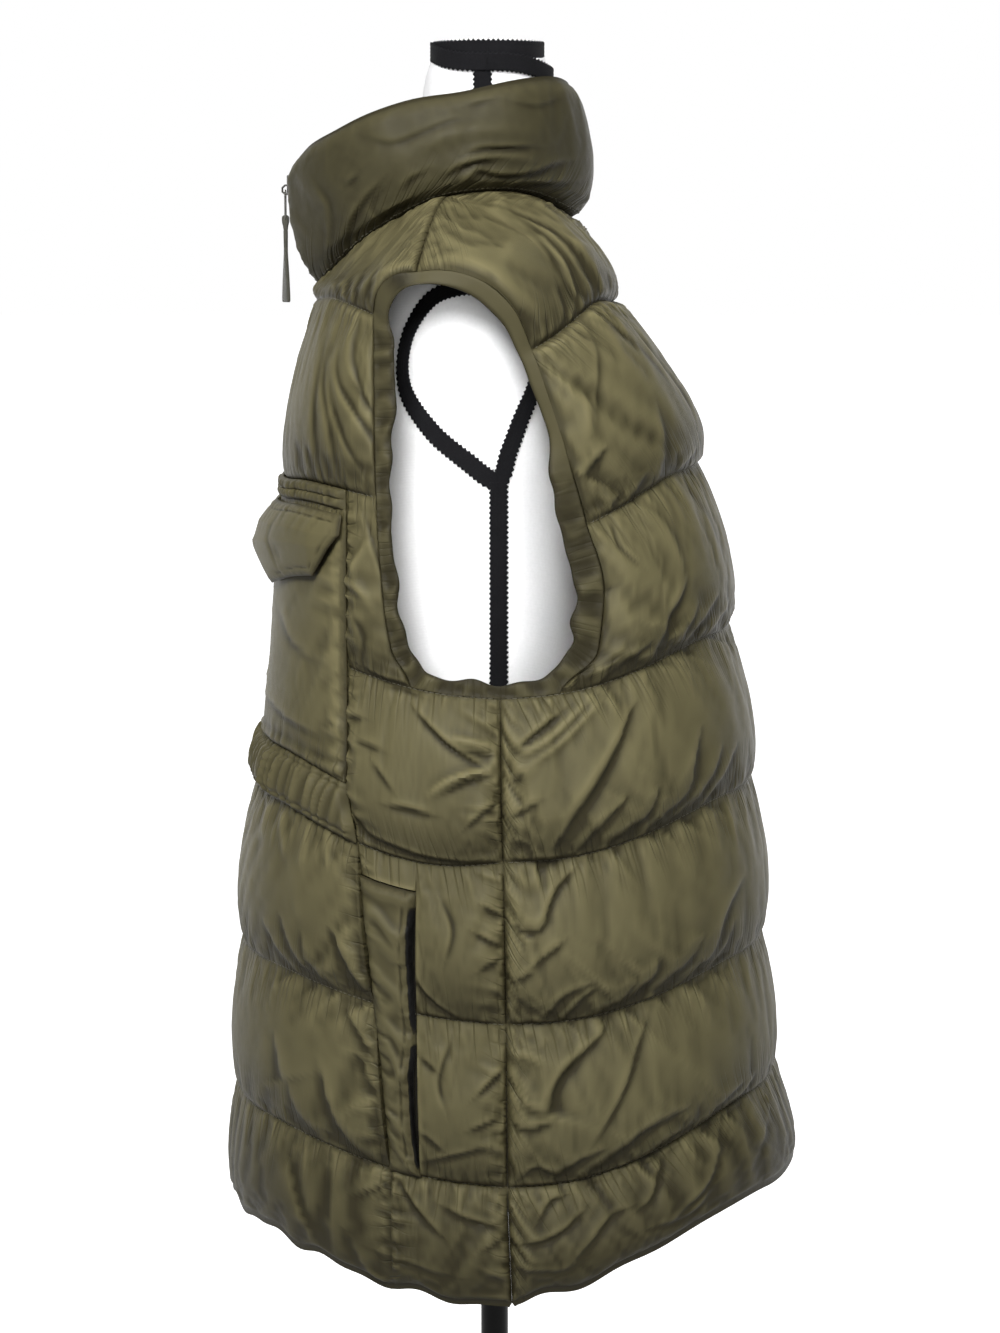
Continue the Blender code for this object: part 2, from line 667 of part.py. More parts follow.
def pocket_flap(name, sign, pocket_face, pocket_out):
    """A clipped-corner flap, sewn along its top and standing off the pocket below it."""
    rows, columns = FLAP_GRID
    inner = np.zeros((rows, columns, 3))
    outer = np.zeros((rows, columns, 3))
    tall, wide = pocket_face.shape[:2]
    for i, v in enumerate(np.linspace(0, 1, rows)):
        clip = FLAP_CLIP * max(0.0, (v - FLAP_CLIP_FROM) / (1 - FLAP_CLIP_FROM))
        for j, u in enumerate(np.linspace(0, 1, columns)):
            across = FLAP_FIRST + (FLAP_LAST - FLAP_FIRST) * (clip + u * (1 - 2 * clip))
            down = FLAP_TOP + FLAP_DROP * v
            foot = finer_point(pocket_face, down * (tall - 1), across * (wide - 1))
            out = unit(finer_point(pocket_out, down * (tall - 1), across * (wide - 1)))
            lift = FLAP_GAP + v * (FLAP_LIFT + FLAP_LIFT_FRONT * (1 - u) ** 2)
            edge = min(u, 1 - u) < 0.01 or v > 0.99 or v < 0.01
            pad = FLAP_EDGE if edge else FLAP_FULL * (1 - 0.25 * math.cos(math.pi * (2 * u - 1)) ** 2)
            inner[i, j] = foot + out * lift
            outer[i, j] = inner[i, j] + out * pad
    wall(f"pocket_flap_{name}", inner, outer, side=sign)


def finer_point(grid, row, column):
    """One point of a grid, straight between its neighbours."""
    i = min(int(row), grid.shape[0] - 2)
    j = min(int(column), grid.shape[1] - 2)
    s = row - i
    t = column - j
    return ((grid[i, j] * (1 - t) + grid[i, j + 1] * t) * (1 - s)
            + (grid[i + 1, j] * (1 - t) + grid[i + 1, j + 1] * t) * s)


def ruched_strip(name, sign, face, out, levels, rows, edge, full, column_parts):
    """A gathered band of cloth laid across the front, from the zip to the side-front seam."""
    first, last = row_of(levels[0]), row_of(levels[1])
    span = last - first
    places = np.asarray(rows) * span
    base = finer(face[first:last + 1, :CENTRE_SEGMENTS + 1], places, column_parts)
    normal = unit(finer(out[first:last + 1, :CENTRE_SEGMENTS + 1], places, column_parts))
    count = base.shape[1]
    waves = 1 + RUCHE * (-1.0) ** np.arange(count)
    pad = np.zeros(base.shape[:2])
    for i, s in enumerate(rows):
        pad[i] = edge + full * (1 - abs(2 * s - 1) ** 2.5) ** 0.6 * waves
    inner = base + normal * LAID_GAP
    wall(name, inner, stand_off(inner, normal, pad), side=sign)


def hand_pocket(name, sign, face, out, seam, arm):
    """The hand pocket's welt: it covers the pocket mouth up to a slit beside the side panel."""
    rows = slice(row_of(4.2), row_of(6) + 1)
    base = face[rows, seam:arm]
    normal = out[rows, seam:arm]
    pad = WELT_EDGE + edge_profile(*base.shape[:2], WELT_FULL, 0.0, 0.4)
    inner = base + normal * LAID_GAP
    wall(f"hand_pocket_welt_{name}", inner, stand_off(inner, normal, pad), side=sign)


def armhole_loop(front, back):
    """The seam round the armhole, from the shoulder tip down the front and up the back."""
    grid, out, arm = front
    back_grid, back_out, back_arm = back
    line_3 = row_of(3)
    places = [(grid, out, i, arm) for i in range(line_3 + 1)]
    places += [(grid, out, line_3, j) for j in range(arm + 1, grid.shape[1])]
    places += [(back_grid, back_out, line_3, j) for j in range(back_grid.shape[1] - 2, back_arm, -1)]
    places += [(back_grid, back_out, i, back_arm) for i in range(line_3, 0, -1)]
    points = np.array([surface[i, j] for surface, _, i, j in places])
    normals = np.array([direction[i, j] for _, direction, i, j in places])
    return points, normals


def halved(loop):
    """A closed loop with the midpoint of each side put in."""
    middle = (loop + np.roll(loop, -1, axis=0)) / 2
    return np.stack([loop, middle], axis=1).reshape(-1, 3)


def armhole_band(name, sign, front, back):
    """The ruched facing that turns in round the armhole."""
    points, normals = armhole_loop(front, back)
    rim_inner = halved(points)
    rim_outer = halved(points + normals * STITCH_WALL)
    out = unit(halved(normals))
    travel = unit(np.roll(rim_inner, -1, axis=0) - np.roll(rim_inner, 1, axis=0))
    inward = unit(np.cross(travel, out))
    centre = rim_inner.mean(axis=0)
    inward *= np.sign(((centre - rim_inner) * inward).sum(axis=1).mean())
    for _ in range(3):
        inward = unit(np.roll(inward, 1, axis=0) + 2 * inward + np.roll(inward, -1, axis=0))
        out = unit(np.roll(out, 1, axis=0) + 2 * out + np.roll(out, -1, axis=0))
    high = smoothstep((rim_inner[:, 2] - BAND_NARROW_FROM) / 30)
    width = (BAND_WIDTH * (1 - high) + BAND_TOP_WIDTH * high)[:, None]
    ruche = (-1.0) ** np.arange(len(rim_inner))[:, None]
    sections = []
    for reach, height, wave in BAND_PROFILE:
        sections.append(rim_inner + inward * reach * width + out * (height + wave * ruche))
    gap = inward * BAND_SEAM_SHIFT
    ring = np.stack([rim_inner + gap, rim_outer + gap] + sections, axis=1)
    loft(f"armhole_band_{name}", ring, "nylon_olive", sign, closed_path=True)


# --- the zip -----------------------------------------------------------------------------------

def zip_line(front, collar):
    """y and z of the front edges' inner face, from the hem up to the collar's rim."""
    path = np.vstack([front[::-1, 0, 1:], collar[1:, 0, 1:]])
    return path


def box_strip(name, path, x_low, x_high, y_back, y_front, material, side=1):
    """A strip of box section along the centre line; y runs forward from the front edges' inner face."""
    sections = []
    for y, z in path:
        sections.append([(x_low, y + y_back, z), (x_high, y + y_back, z),
                         (x_high, y + y_front, z), (x_low, y + y_front, z)])
    return loft(name, sections, material, side)


def build_zip(front, collar):
    line = zip_line(front, collar)
    for name, sign in SIDES:
        box_strip(f"zip_tape_{name}", line, SEAM_GAP / 2, TAPE_HALF,
                  ZIP_TAPE_BACK + ZIP_TAPE_THICK, ZIP_TAPE_BACK, "webbing", sign)
    wide, deep, tall = SLIDER_SIZE
    slider_foot = SLIDER_Z - tall / 2
    edge_y = np.interp([slider_foot, SLIDER_Z], line[:, 1], line[:, 0])
    chain = line[line[:, 1] < slider_foot - SLIDER_REST]
    chain = np.vstack([chain, [edge_y[0], slider_foot - SLIDER_REST]])
    seat = ZIP_TAPE_BACK - LAID_GAP
    box_strip("zip_chain", chain, -CHAIN_HALF, CHAIN_HALF, seat, seat - CHAIN_DEPTH, "zip_coil")
    back_y = np.interp(SLIDER_Z + tall / 2, line[:, 1], line[:, 0]) + seat
    face_y = back_y - deep
    slider = block("zip_slider", (0, back_y - deep / 2, SLIDER_Z), SLIDER_SIZE, "gunmetal", 1.0)
    hinge = np.array([0, face_y - HINGE_REACH, SLIDER_Z - HINGE_DROP])
    arch = [(0, face_y + 1.0, hinge[2] + 3.6), (0, face_y - 1.6, hinge[2] + 3.3),
            (0, face_y - BRIDGE_REACH, hinge[2] + 1.6), (0, face_y - BRIDGE_REACH, hinge[2] - 1.2),
            (0, face_y - 1.6, hinge[2] - 2.7), (0, face_y + 1.0, hinge[2] - 2.9)]
    bridge = tube("bridge", arch, BRIDGE_RADIUS, "gunmetal")
    boolean(slider, bridge, "UNION")
    build_pull(hinge)


def build_pull(hinge):
    """The wire link in the slider's bridge and the webbing tab on it. They swing as one."""
    x, drop = LINK_HALF, LINK_LENGTH
    corner = 1.2
    link_path = [(-x + corner, 0, 0), (x - corner, 0, 0), (x - 0.3, 0, -0.3), (x, 0, -corner),
                 (x, 0, -drop + corner), (x - 0.3, 0, -drop + 0.3), (x - corner, 0, -drop),
                 (-x + corner, 0, -drop), (-x + 0.3, 0, -drop + 0.3), (-x, 0, -drop + corner),
                 (-x, 0, -corner), (-x + 0.3, 0, -0.3)]
    tube("zip_pull_link", [hinge + np.array(p) for p in link_path], LINK_RADIUS, "gunmetal", cyclic=True)
    top = hinge + np.array([0, 0, -LINK_LENGTH + TAB_TOP])
    sections = []
    for share_down, width, thick in TAB_SECTIONS:
        turn = math.radians(TAB_TWIST) * smoothstep((share_down - 0.2) / 0.8)
        ring = []
        for a, b in ((-1, -0.55), (-0.9, -1), (0.9, -1), (1, -0.55), (1, 0.55), (0.9, 1), (-0.9, 1),
                     (-1, 0.55)):
            px, py = a * width / 2, b * thick / 2
            ring.append(top + np.array([px * math.cos(turn) - py * math.sin(turn),
                                        px * math.sin(turn) + py * math.cos(turn),
                                        -TAB_LENGTH * share_down]))
        sections.append(ring)
    tab = loft("zip_pull_tab", sections, "webbing")
    bar = hinge + np.array([0, 0, -LINK_LENGTH])
    bpy.ops.mesh.primitive_cylinder_add(vertices=16, radius=TAB_BORE * MM, depth=20 * MM,
                                        location=bar * MM, rotation=(0, math.pi / 2, 0))
    boolean(tab, as_helper(bpy.context.object, "tab_bore"), "DIFFERENCE")


def move_to(obj, collection):
    for old in list(obj.users_collection):
        old.objects.unlink(obj)
    collection.objects.link(obj)


def as_helper(obj, name):
    """Keeps an object as a cutter or a piece to be joined: never a part of its own."""
    obj.name = name
    obj.hide_render = True
    obj.display_type = "WIRE"
    move_to(obj, CUTTERS)
    return obj


def block(name, centre, size, material, bevel):
    bpy.ops.mesh.primitive_cube_add(size=1, location=np.array(centre) * MM)
    obj = bpy.context.object
    obj.name = name
    obj.scale = np.array(size) * MM
    bpy.ops.object.transform_apply(location=False, rotation=False, scale=True)
    soften = obj.modifiers.new("soft_edges", "BEVEL")
    soften.width = bevel * MM
    soften.segments = 2
    obj.data.materials.append(MADE[material])
    move_to(obj, PARTS)
    return obj


def tube(name, points, radius, material, cyclic=False):
    """A round wire through the points, as a welded mesh."""
    curve = bpy.data.curves.new(name, "CURVE")
    curve.dimensions = "3D"
    curve.bevel_depth = radius * MM
    curve.bevel_resolution = 1
    curve.use_fill_caps = True
    spline = curve.splines.new("POLY")
    spline.points.add(len(points) - 1)
    for point, place in zip(spline.points, points):
        point.co = (*(np.array(place) * MM), 1)
    spline.use_cyclic_u = cyclic
    wire = bpy.data.objects.new(name + "_path", curve)
    PARTS.objects.link(wire)
    graph = bpy.context.evaluated_depsgraph_get()
    mesh = bpy.data.meshes.new_from_object(wire.evaluated_get(graph))
    mesh.name = name
    bpy.data.objects.remove(wire)
    bm = bmesh.new()
    bm.from_mesh(mesh)
    bpy.data.meshes.remove(mesh)
    bmesh.ops.remove_doubles(bm, verts=bm.verts, dist=1e-6)
    return add_object(name, bm, material)


def boolean(obj, other, operation):
    """Joins or cuts `obj` with a helper object."""
    as_helper(other, other.name)
    change = obj.modifiers.new(operation.lower(), "BOOLEAN")
    change.operation = operation
    change.object = other


# --- the dress form ----------------------------------------------------------------------------

def form_row(z):
    """Half width, front and back of the form at a height."""
    table = np.array(FORM_ROWS, float)[::-1]
    return [np.interp(z, table[:, 0], table[:, k]) for k in (1, 2, 3)]


def form_section(z, grow=0.0, count=FORM_AROUND):
    half, y_front, y_back = form_row(z)
    middle, deep = (y_front + y_back) / 2, (y_back - y_front) / 2 + grow
    ring = []
    for k in range(count):
        angle = 2 * math.pi * k / count
        c, s = math.cos(angle), math.sin(angle)
        ring.append(((half + grow) * math.copysign(abs(c) ** (2 / FORM_POWER), c),
                     middle + deep * math.copysign(abs(s) ** (2 / FORM_POWER), s), z))
    return ring


def form_side(y, z):
    """The point of the form's left side at a given y and z."""
    half, y_front, y_back = form_row(z)
    middle, deep = (y_front + y_back) / 2, (y_back - y_front) / 2
    share_out = min(abs((y - middle) / deep), 0.999)
    return np.array([half * (1 - share_out ** FORM_POWER) ** (1 / FORM_POWER), y, z])


def form_normal(y, z):
    reach = 5.0
    across = form_side(y + reach, z) - form_side(y - reach, z)
    up = form_side(y, z + reach) - form_side(y, z - reach)
    return unit(np.cross(across, up))


def tape_sections(points, normals, lift, closed=False):
    """Flat rectangles along a path on the form, square to it."""
    points, normals = np.asarray(points), np.asarray(normals)
    if closed:
        travel = unit(np.roll(points, -1, axis=0) - np.roll(points, 1, axis=0))
    else:
        travel = unit(np.gradient(points, axis=0))
    across = unit(np.cross(travel, normals)) * TAPE_WIDTH / 2
    low = points + normals * lift
    high = low + normals * TAPE_THICK
    return np.stack([low - across, low + across, high + across, high - across], axis=1)


def closed_path(places, per_span):
    """A smooth closed path through (y, z) places on the form's side."""
    places = np.array(places, float)
    ring = np.vstack([places[-1:], places, places[:2]])
    curve = catmull_rom(np.column_stack([ring, np.zeros(len(ring))]), per_span)
    return curve[per_span:-per_span - 1, :2]


def build_form():
    heights = [row[0] for row in FORM_ROWS]
    loft("form_torso", [form_section(z) for z in heights[::-1]], "form_cloth")
    top = heights[0]
    cap = [form_section(top), form_section(top, -1.2)]
    lifts = (SEAM_GAP, CAP_THICK)
    loft("form_neck_cap", [[(x, y, z + lift) for x, y, z in ring] for ring, lift in zip(cap, lifts)],
         "form_cloth")
    rim_top = top + CAP_THICK
    edges = []
    for height, shift in ((top, CAP_THICK), (rim_top - NECK_TAPE_DROP, 0)):
        for grow in (TAPE_LIFT, TAPE_LIFT + TAPE_THICK):
            edges.append(np.array(form_section(height, grow)) + [0, 0, shift])
    neck = np.stack([edges[0], edges[1], edges[3], edges[2]], axis=1)
    loft("neck_tape", neck, "black_tape", closed_path=True)

    arm = closed_path(ARM_TAPE, 3)
    arm_points = [form_side(y, z) for y, z in arm]
    arm_normals = [form_normal(y, z) for y, z in arm]
    side_heights = [SIDE_TAPE_TOP] + [z for z in heights if SIDE_TAPE_END < z < SIDE_TAPE_TOP]
    side_heights.append(SIDE_TAPE_END)
    side_points = [form_side(SIDE_TAPE_Y, z) for z in side_heights]
    side_normals = [form_normal(SIDE_TAPE_Y, z) for z in side_heights]
    shoulder_heights = [z for z in heights if SHOULDER_TAPE_END < z < rim_top - NECK_TAPE_DROP]
    shoulder_heights.insert(0, rim_top - NECK_TAPE_DROP - 1)
    shoulder_heights.append(SHOULDER_TAPE_END)
    shoulder_points = [form_side(SHOULDER_TAPE_Y, z) for z in shoulder_heights]
    shoulder_normals = [form_normal(SHOULDER_TAPE_Y, z) for z in shoulder_heights]
    for name, sign in SIDES:
        loft(f"arm_tape_{name}", tape_sections(arm_points, arm_normals, TAPE_LIFT, True),
             "black_tape", sign, closed_path=True)
        loft(f"side_tape_{name}", tape_sections(side_points, side_normals, TAPE_LIFT),
             "black_tape", sign)
        loft(f"shoulder_tape_{name}",
             tape_sections(shoulder_points, shoulder_normals, SHOULDER_TAPE_LIFT), "black_tape", sign)
    back_heights = [rim_top - NECK_TAPE_DROP - 1] + [z for z in heights[1:] if z > SIDE_TAPE_END]
    back_points = [np.array([0, form_row(z)[2], z]) for z in back_heights]
    back_normals = [np.array([0, 1, 0])] * len(back_points)
    loft("back_tape", tape_sections(back_points, back_normals, TAPE_LIFT), "black_tape")
    build_stand(heights[-1])


def build_stand(form_foot):
    """A round base turned in one piece with its hub, and the pole up to the form's underside."""
    profile = [(0, HUB_HEIGHT), (HUB_RADIUS - 3, HUB_HEIGHT), (HUB_RADIUS, HUB_HEIGHT - 3),
               (HUB_RADIUS + 2, BASE_THICK + 3), (HUB_RADIUS + 6, BASE_THICK),
               (BASE_RADIUS - 3, BASE_THICK), (BASE_RADIUS, BASE_THICK - 3), (BASE_RADIUS, 0), (0, 0)]
    mesh = bpy.data.meshes.new("base")
    points = [(x * MM, 0, z * MM) for x, z in profile]
    mesh.from_pydata(points, [(k, k + 1) for k in range(len(points) - 1)], [])
    base = bpy.data.objects.new("base", mesh)
    mesh.materials.append(MADE["black_steel"])
    PARTS.objects.link(base)
    turn = base.modifiers.new("turned", "SCREW")
    turn.steps = 28
    turn.render_steps = 28
    turn.use_merge_vertices = True
    turn.merge_threshold = 0.00005
    length = form_foot - HUB_HEIGHT - 2 * SEAM_GAP
    bpy.ops.mesh.primitive_cylinder_add(vertices=24, radius=POLE_RADIUS * MM, depth=length * MM,
                                        location=(0, 0, (HUB_HEIGHT + SEAM_GAP + length / 2) * MM))
    pole = bpy.context.object
    pole.name = "pole"
    pole.data.shade_smooth()
    pole.data.set_sharp_from_angle(angle=math.radians(40))
    pole.data.materials.append(MADE["black_steel"])
    move_to(pole, PARTS)


for old in list(bpy.data.objects):
    bpy.data.objects.remove(old)
PARTS = bpy.data.collections.new("puffer_vest_on_dress_form")
CUTTERS = bpy.data.collections.new("cutters")
for group in (PARTS, CUTTERS):
    bpy.context.scene.collection.children.link(group)
MADE = {name: make_material(name) for name in MATERIALS}
front_surface, collar_inner = build_vest()
build_zip(front_surface, collar_inner)
build_form()
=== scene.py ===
import json
import math
import time

import bpy
import numpy as np
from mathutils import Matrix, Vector

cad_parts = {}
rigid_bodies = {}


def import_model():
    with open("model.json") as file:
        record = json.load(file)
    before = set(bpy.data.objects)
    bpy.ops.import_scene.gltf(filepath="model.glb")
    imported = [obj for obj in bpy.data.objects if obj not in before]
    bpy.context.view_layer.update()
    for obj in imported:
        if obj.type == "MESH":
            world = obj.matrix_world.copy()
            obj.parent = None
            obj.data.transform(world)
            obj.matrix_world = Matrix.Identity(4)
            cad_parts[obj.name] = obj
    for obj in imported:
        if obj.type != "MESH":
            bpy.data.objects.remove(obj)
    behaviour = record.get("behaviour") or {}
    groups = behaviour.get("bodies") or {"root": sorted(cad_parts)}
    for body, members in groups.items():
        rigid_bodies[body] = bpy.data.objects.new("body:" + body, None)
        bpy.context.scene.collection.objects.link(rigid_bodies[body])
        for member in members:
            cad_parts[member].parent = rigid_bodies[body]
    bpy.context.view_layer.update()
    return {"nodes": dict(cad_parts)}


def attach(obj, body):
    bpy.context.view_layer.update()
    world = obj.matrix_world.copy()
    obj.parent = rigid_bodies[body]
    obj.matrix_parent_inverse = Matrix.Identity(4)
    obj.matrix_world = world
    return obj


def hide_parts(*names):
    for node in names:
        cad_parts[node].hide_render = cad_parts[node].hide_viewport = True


for startup in list(bpy.data.objects):
    bpy.data.objects.remove(startup)
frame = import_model()
MM = 0.001
STARTED = time.time()
bpy.ops.object.select_all(action="DESELECT")

# %% [markdown]
# ## Camera
# The side of the vest fills the picture from a little above its middle, so the camera stands 2.2 m off
# the wearer's left side and looks slightly down. It comes first, because the folds are placed by where
# they show in the side view.
# %% Camera
CAMERA_PLACE = Vector((2.2, 0.004, 1.2626))
CAMERA_TILT = math.radians(7.872)
CAMERA_LENS, CAMERA_SENSOR = 83.306, 36
PICTURE = (1000, 1333)

camera = bpy.data.objects.new("camera", bpy.data.cameras.new("camera"))
camera.data.lens = CAMERA_LENS
camera.data.sensor_width = CAMERA_SENSOR
camera.location = CAMERA_PLACE
camera.rotation_euler = (math.pi / 2 - CAMERA_TILT, 0, math.pi / 2)
bpy.context.scene.collection.objects.link(camera)
bpy.context.scene.camera = camera


def side_view(points):
    """Where points (mm) show in the side view: across and down, in its pixels."""
    points = np.asarray(points, float)
    away = CAMERA_PLACE.x / MM - points[..., 0]
    right = points[..., 1] - CAMERA_PLACE.y / MM
    up = points[..., 2] - CAMERA_PLACE.z / MM
    depth = away * math.cos(CAMERA_TILT) - up * math.sin(CAMERA_TILT)
    rise = away * math.sin(CAMERA_TILT) + up * math.cos(CAMERA_TILT)
    scale = PICTURE[1] * CAMERA_LENS / CAMERA_SENSOR
    return np.stack([PICTURE[0] / 2 + scale * right / depth, PICTURE[1] / 2 - scale * rise / depth], -1)


print("the origin shows at", side_view([0, 0, 0]).round())

# %% [markdown]
# ## The body under the cloth
# A tailor fits cloth to a body. Here the body of the vest is a stack of level rings, each a quarter of
# a superellipse from the centre line to the side, joined by smooth curves. A place on it is given by its
# level, 0 at the shoulder, 1 to 6 on the stitch lines and 7 at the hem, and its column: 0 at the centre
# line, 1 at the side-front seam, 2 at the armhole and 3 at the side seam. All lengths are in mm.
# %% Rings of the front and the back
ZIP_HALF_GAP = 5.5
RING_POWER = 2.4
FRONT_RINGS = [
    # level, z_mid, z_side, y_mid, reach, y_side, y_seam, y_arm, rise
    (1, 1221, 1200, -122.0, 192, -10, -98, -77, 6),
    (2, 1098, 1082, -144.5, 200, -8, -95, -76, 9),
    (2.45, 1046, 1028, -145.5, 204, -4, -95, -72, 6),
    (2.78, 1012, 987, -146.2, 206, 0, -95, -66, 4),
    (3, 988, 965.5, -147.5, 207, 4, -95, -54, 3),
    (3.65, 920, 893, -157.5, 212, 5, -95, -53, -2),
    (4, 886, 858.5, -166.0, 214, 6, -89, -50, -4),
    (5, 772, 750.5, -178.0, 218, 8, -77, -50, 4),
    (6, 666, 641, -182.5, 223, 9, -67, -48, 5),
    (7, 594, 565, -189.0, 228, 12, -64, -48, 4),
]
BACK_RINGS = [
    (1, 1218, 1178, 80.5, 192, -20, 52, 23, 9),
    (2, 1108, 1072, 141.0, 199, -10, 94, 60, -4),
    (2.45, 1060, 1026, 153.0, 203, -4, 105, 71, -2),
    (2.78, 1020, 988, 159.5, 206, 1, 105, 67, 0),
    (3, 995, 966, 163.4, 207, 4, 105, 43, 2),
    (4, 888, 858.5, 180.4, 214, 6, 110, 50, 2),
    (5, 777, 750.5, 189.0, 218, 8, 115, 52, 2),
    (6, 679, 641, 198.0, 223, 9, 115, 55, 4),
    (7, 616, 566, 215.0, 228, 12, 120, 58, 15),
]
NECK_SEAM = [(0, -119.5, 1229), (50, -96.0, 1254), (75, -62.0, 1278), (84, -31.9, 1291),
             (74, 4.0, 1295), (49, 28.5, 1291), (0, 52.5, 1278)]
SHOULDER_NECK = 3
SHOULDER_TIP = (180, -50, 1240)
SHOULDER_RISE = 7.0
SHOULDER_BOW = {"front": (1.0, 6.0), "back": (1.0, 15.0)}
COLLAR_RIM = [(0, -138.5, 1314), (36, -126.0, 1326), (62, -108.0, 1335), (80, -84.0, 1346),
              (86, -55.0, 1355), (87, -22.0, 1360), (80, 12.0, 1368), (56, 36.0, 1372),
              (28, 48.5, 1370), (0, 52.0, 1364)]
COLLAR_BOW = (5.0, 0.5)
SIDES = (("left", 1), ("right", -1))
print("rings:", len(FRONT_RINGS), "in front and", len(BACK_RINGS), "behind")

# %% Smooth curves through rings and seams
def smoothstep(x):
    """0 below 0, 1 above 1, and a soft rise between."""
    x = np.clip(x, 0.0, 1.0)
    return x * x * (3 - 2 * x)


def unit(vectors):
    """Vectors of the same directions, each 1 long."""
    return vectors / np.maximum(np.linalg.norm(vectors, axis=-1, keepdims=True), 1e-9)


def smooth_between(knots, values, at):
    """Values at `at` on the smooth curve through the knots that never overshoots them."""
    knots, values, at = np.asarray(knots, float), np.asarray(values, float), np.asarray(at, float)
    steps = np.diff(knots)
    wide = steps.reshape((-1,) + (1,) * (values.ndim - 1))
    slopes = np.diff(values, axis=0) / wide
    before, after = slopes[:-1], slopes[1:]
    weight_a, weight_b = 2 * wide[1:] + wide[:-1], wide[1:] + 2 * wide[:-1]
    same_way = before * after > 0
    harmonic = (weight_a + weight_b) / (weight_a / np.where(same_way, before, 1.0)
                                        + weight_b / np.where(same_way, after, 1.0))
    tangents = np.concatenate([slopes[:1], np.where(same_way, harmonic, 0.0), slopes[-1:]])
    low = np.clip(np.searchsorted(knots, at, side="right") - 1, 0, len(knots) - 2)
    span = wide[low]
    t = ((at - knots[low]).reshape((-1,) + (1,) * (values.ndim - 1))) / span
    return ((1 + 2 * t) * (1 - t) ** 2 * values[low] + t * (1 - t) ** 2 * span * tangents[low]
            + t * t * (3 - 2 * t) * values[low + 1] + t * t * (t - 1) * span * tangents[low + 1])


def catmull_rom(points, per_span):
    """Points on a smooth curve through `points`, per_span steps between each two of them."""
    points = np.asarray(points, float)
    padded = np.vstack([2 * points[0] - points[1], points, 2 * points[-1] - points[-2]])
    steps = np.linspace(0, 1, per_span, endpoint=False)[:, None]
    curve = [0.5 * (2 * b + (c - a) * steps + (2 * a - 5 * b + 4 * c - d) * steps**2
                    + (3 * b - a - 3 * c + d) * steps**3)
             for a, b, c, d in zip(padded, padded[1:], padded[2:], padded[3:])]
    return np.vstack(curve + [points[-1:]])


def symmetric_curve(half):
    """A dense curve through a half outline, which leaves each centre line at right angles."""
    half = np.asarray(half, float)
    flip = np.array([-1, 1, 1])
    whole = np.vstack([half[1:2] * flip, half, half[-2:-1] * flip])
    return catmull_rom(whole, 24)[24:-24]


def run_of(curve):
    """Length along a curve, at each of its points."""
    return np.concatenate([[0], np.cumsum(np.linalg.norm(np.diff(curve, axis=0), axis=1))])


def read_at(at, run, values):
    """Values that are known at the lengths `run`, read at the lengths `at`."""
    return np.stack([np.interp(at, run, values[:, k]) for k in range(values.shape[1])], axis=-1)


def along(curve, fractions, start=0.0):
    """Points at the given fractions of a curve's length, counted from `start` mm."""
    run = run_of(curve)
    return read_at(start + np.asarray(fractions) * (run[-1] - start), run, curve)


print("the neck seam is", round(float(run_of(symmetric_curve(NECK_SEAM))[-1])), "mm on each side")

# %% The two surfaces of the body, and the collar
def ring_points(ring, columns, start):
    """Points of one level ring at the given columns."""
    _, z_mid, z_side, y_mid, reach, y_side, y_seam, y_arm, rise = ring
    angle = np.linspace(0, math.pi / 2, 240)
    x = reach * np.sin(angle) ** (2 / RING_POWER)
    y = y_side + (y_mid - y_side) * np.cos(angle) ** (2 / RING_POWER)
    run = run_of(np.stack([x, y], axis=-1))
    toward_side = math.copysign(1, y_side - y_mid)
    stops = np.interp([toward_side * y_seam, toward_side * y_arm], toward_side * y, run)
    at = np.interp(columns, [0, 1, 2, 3], [start, *stops, run[-1]])
    way = at / run[-1]
    height = (z_mid + (z_side - z_mid) * smoothstep((way - 0.42) / 0.5)
              + rise * np.sin(math.pi * way ** 2.5))
    return np.stack([np.interp(at, run, x), np.interp(at, run, y), height], axis=-1)


def top_edge(columns, face):
    """The body's upper edge: along the collar seam, then along the shoulder seam."""
    curve = symmetric_curve(NECK_SEAM)
    corner = int(np.argmin(np.linalg.norm(curve - NECK_SEAM[SHOULDER_NECK], axis=1)))
    part = curve[:corner + 1] if face == "front" else curve[corner:][::-1]
    neck = along(part, columns[columns <= 1], ZIP_HALF_GAP if face == "front" else 0.0)
    t = (columns[columns > 1] - 1)[:, None]
    start, tip = np.array(NECK_SEAM[SHOULDER_NECK], float), np.array(SHOULDER_TIP, float)
    return np.vstack([neck, start + (tip - start) * t + np.array([0, 0, 4 * SHOULDER_RISE]) * t * (1 - t)])


def body_surface(face, levels, columns):
    """The vest's inner face at the given levels and columns, as a grid of points in mm."""
    rings = FRONT_RINGS if face == "front" else BACK_RINGS
    start = ZIP_HALF_GAP if face == "front" else 0.0
    levels, columns = np.asarray(levels, float), np.asarray(columns, float)
    table = np.array([ring_points(ring, columns, start) for ring in rings])
    surface = smooth_between([ring[0] for ring in rings], table, np.maximum(levels, 1))
    top, line = top_edge(columns, face), smooth_between([ring[0] for ring in rings], table, [1.0])[0]
    reach = np.clip(columns / 2, 0, 1)[:, None]
    toward = np.array([0, -0.45, 0.8]) if face == "front" else np.array([0, 0.35, 0.8])
    low, high = SHOULDER_BOW[face]
    bow = (low + (high - low) * reach) * unit(toward + reach * [0.25, 0, 0])
    for i in np.flatnonzero(levels < 1):
        s = levels[i]
        surface[i] = top * (1 - s) + line * s + 4 * s * (1 - s) * bow
    return surface


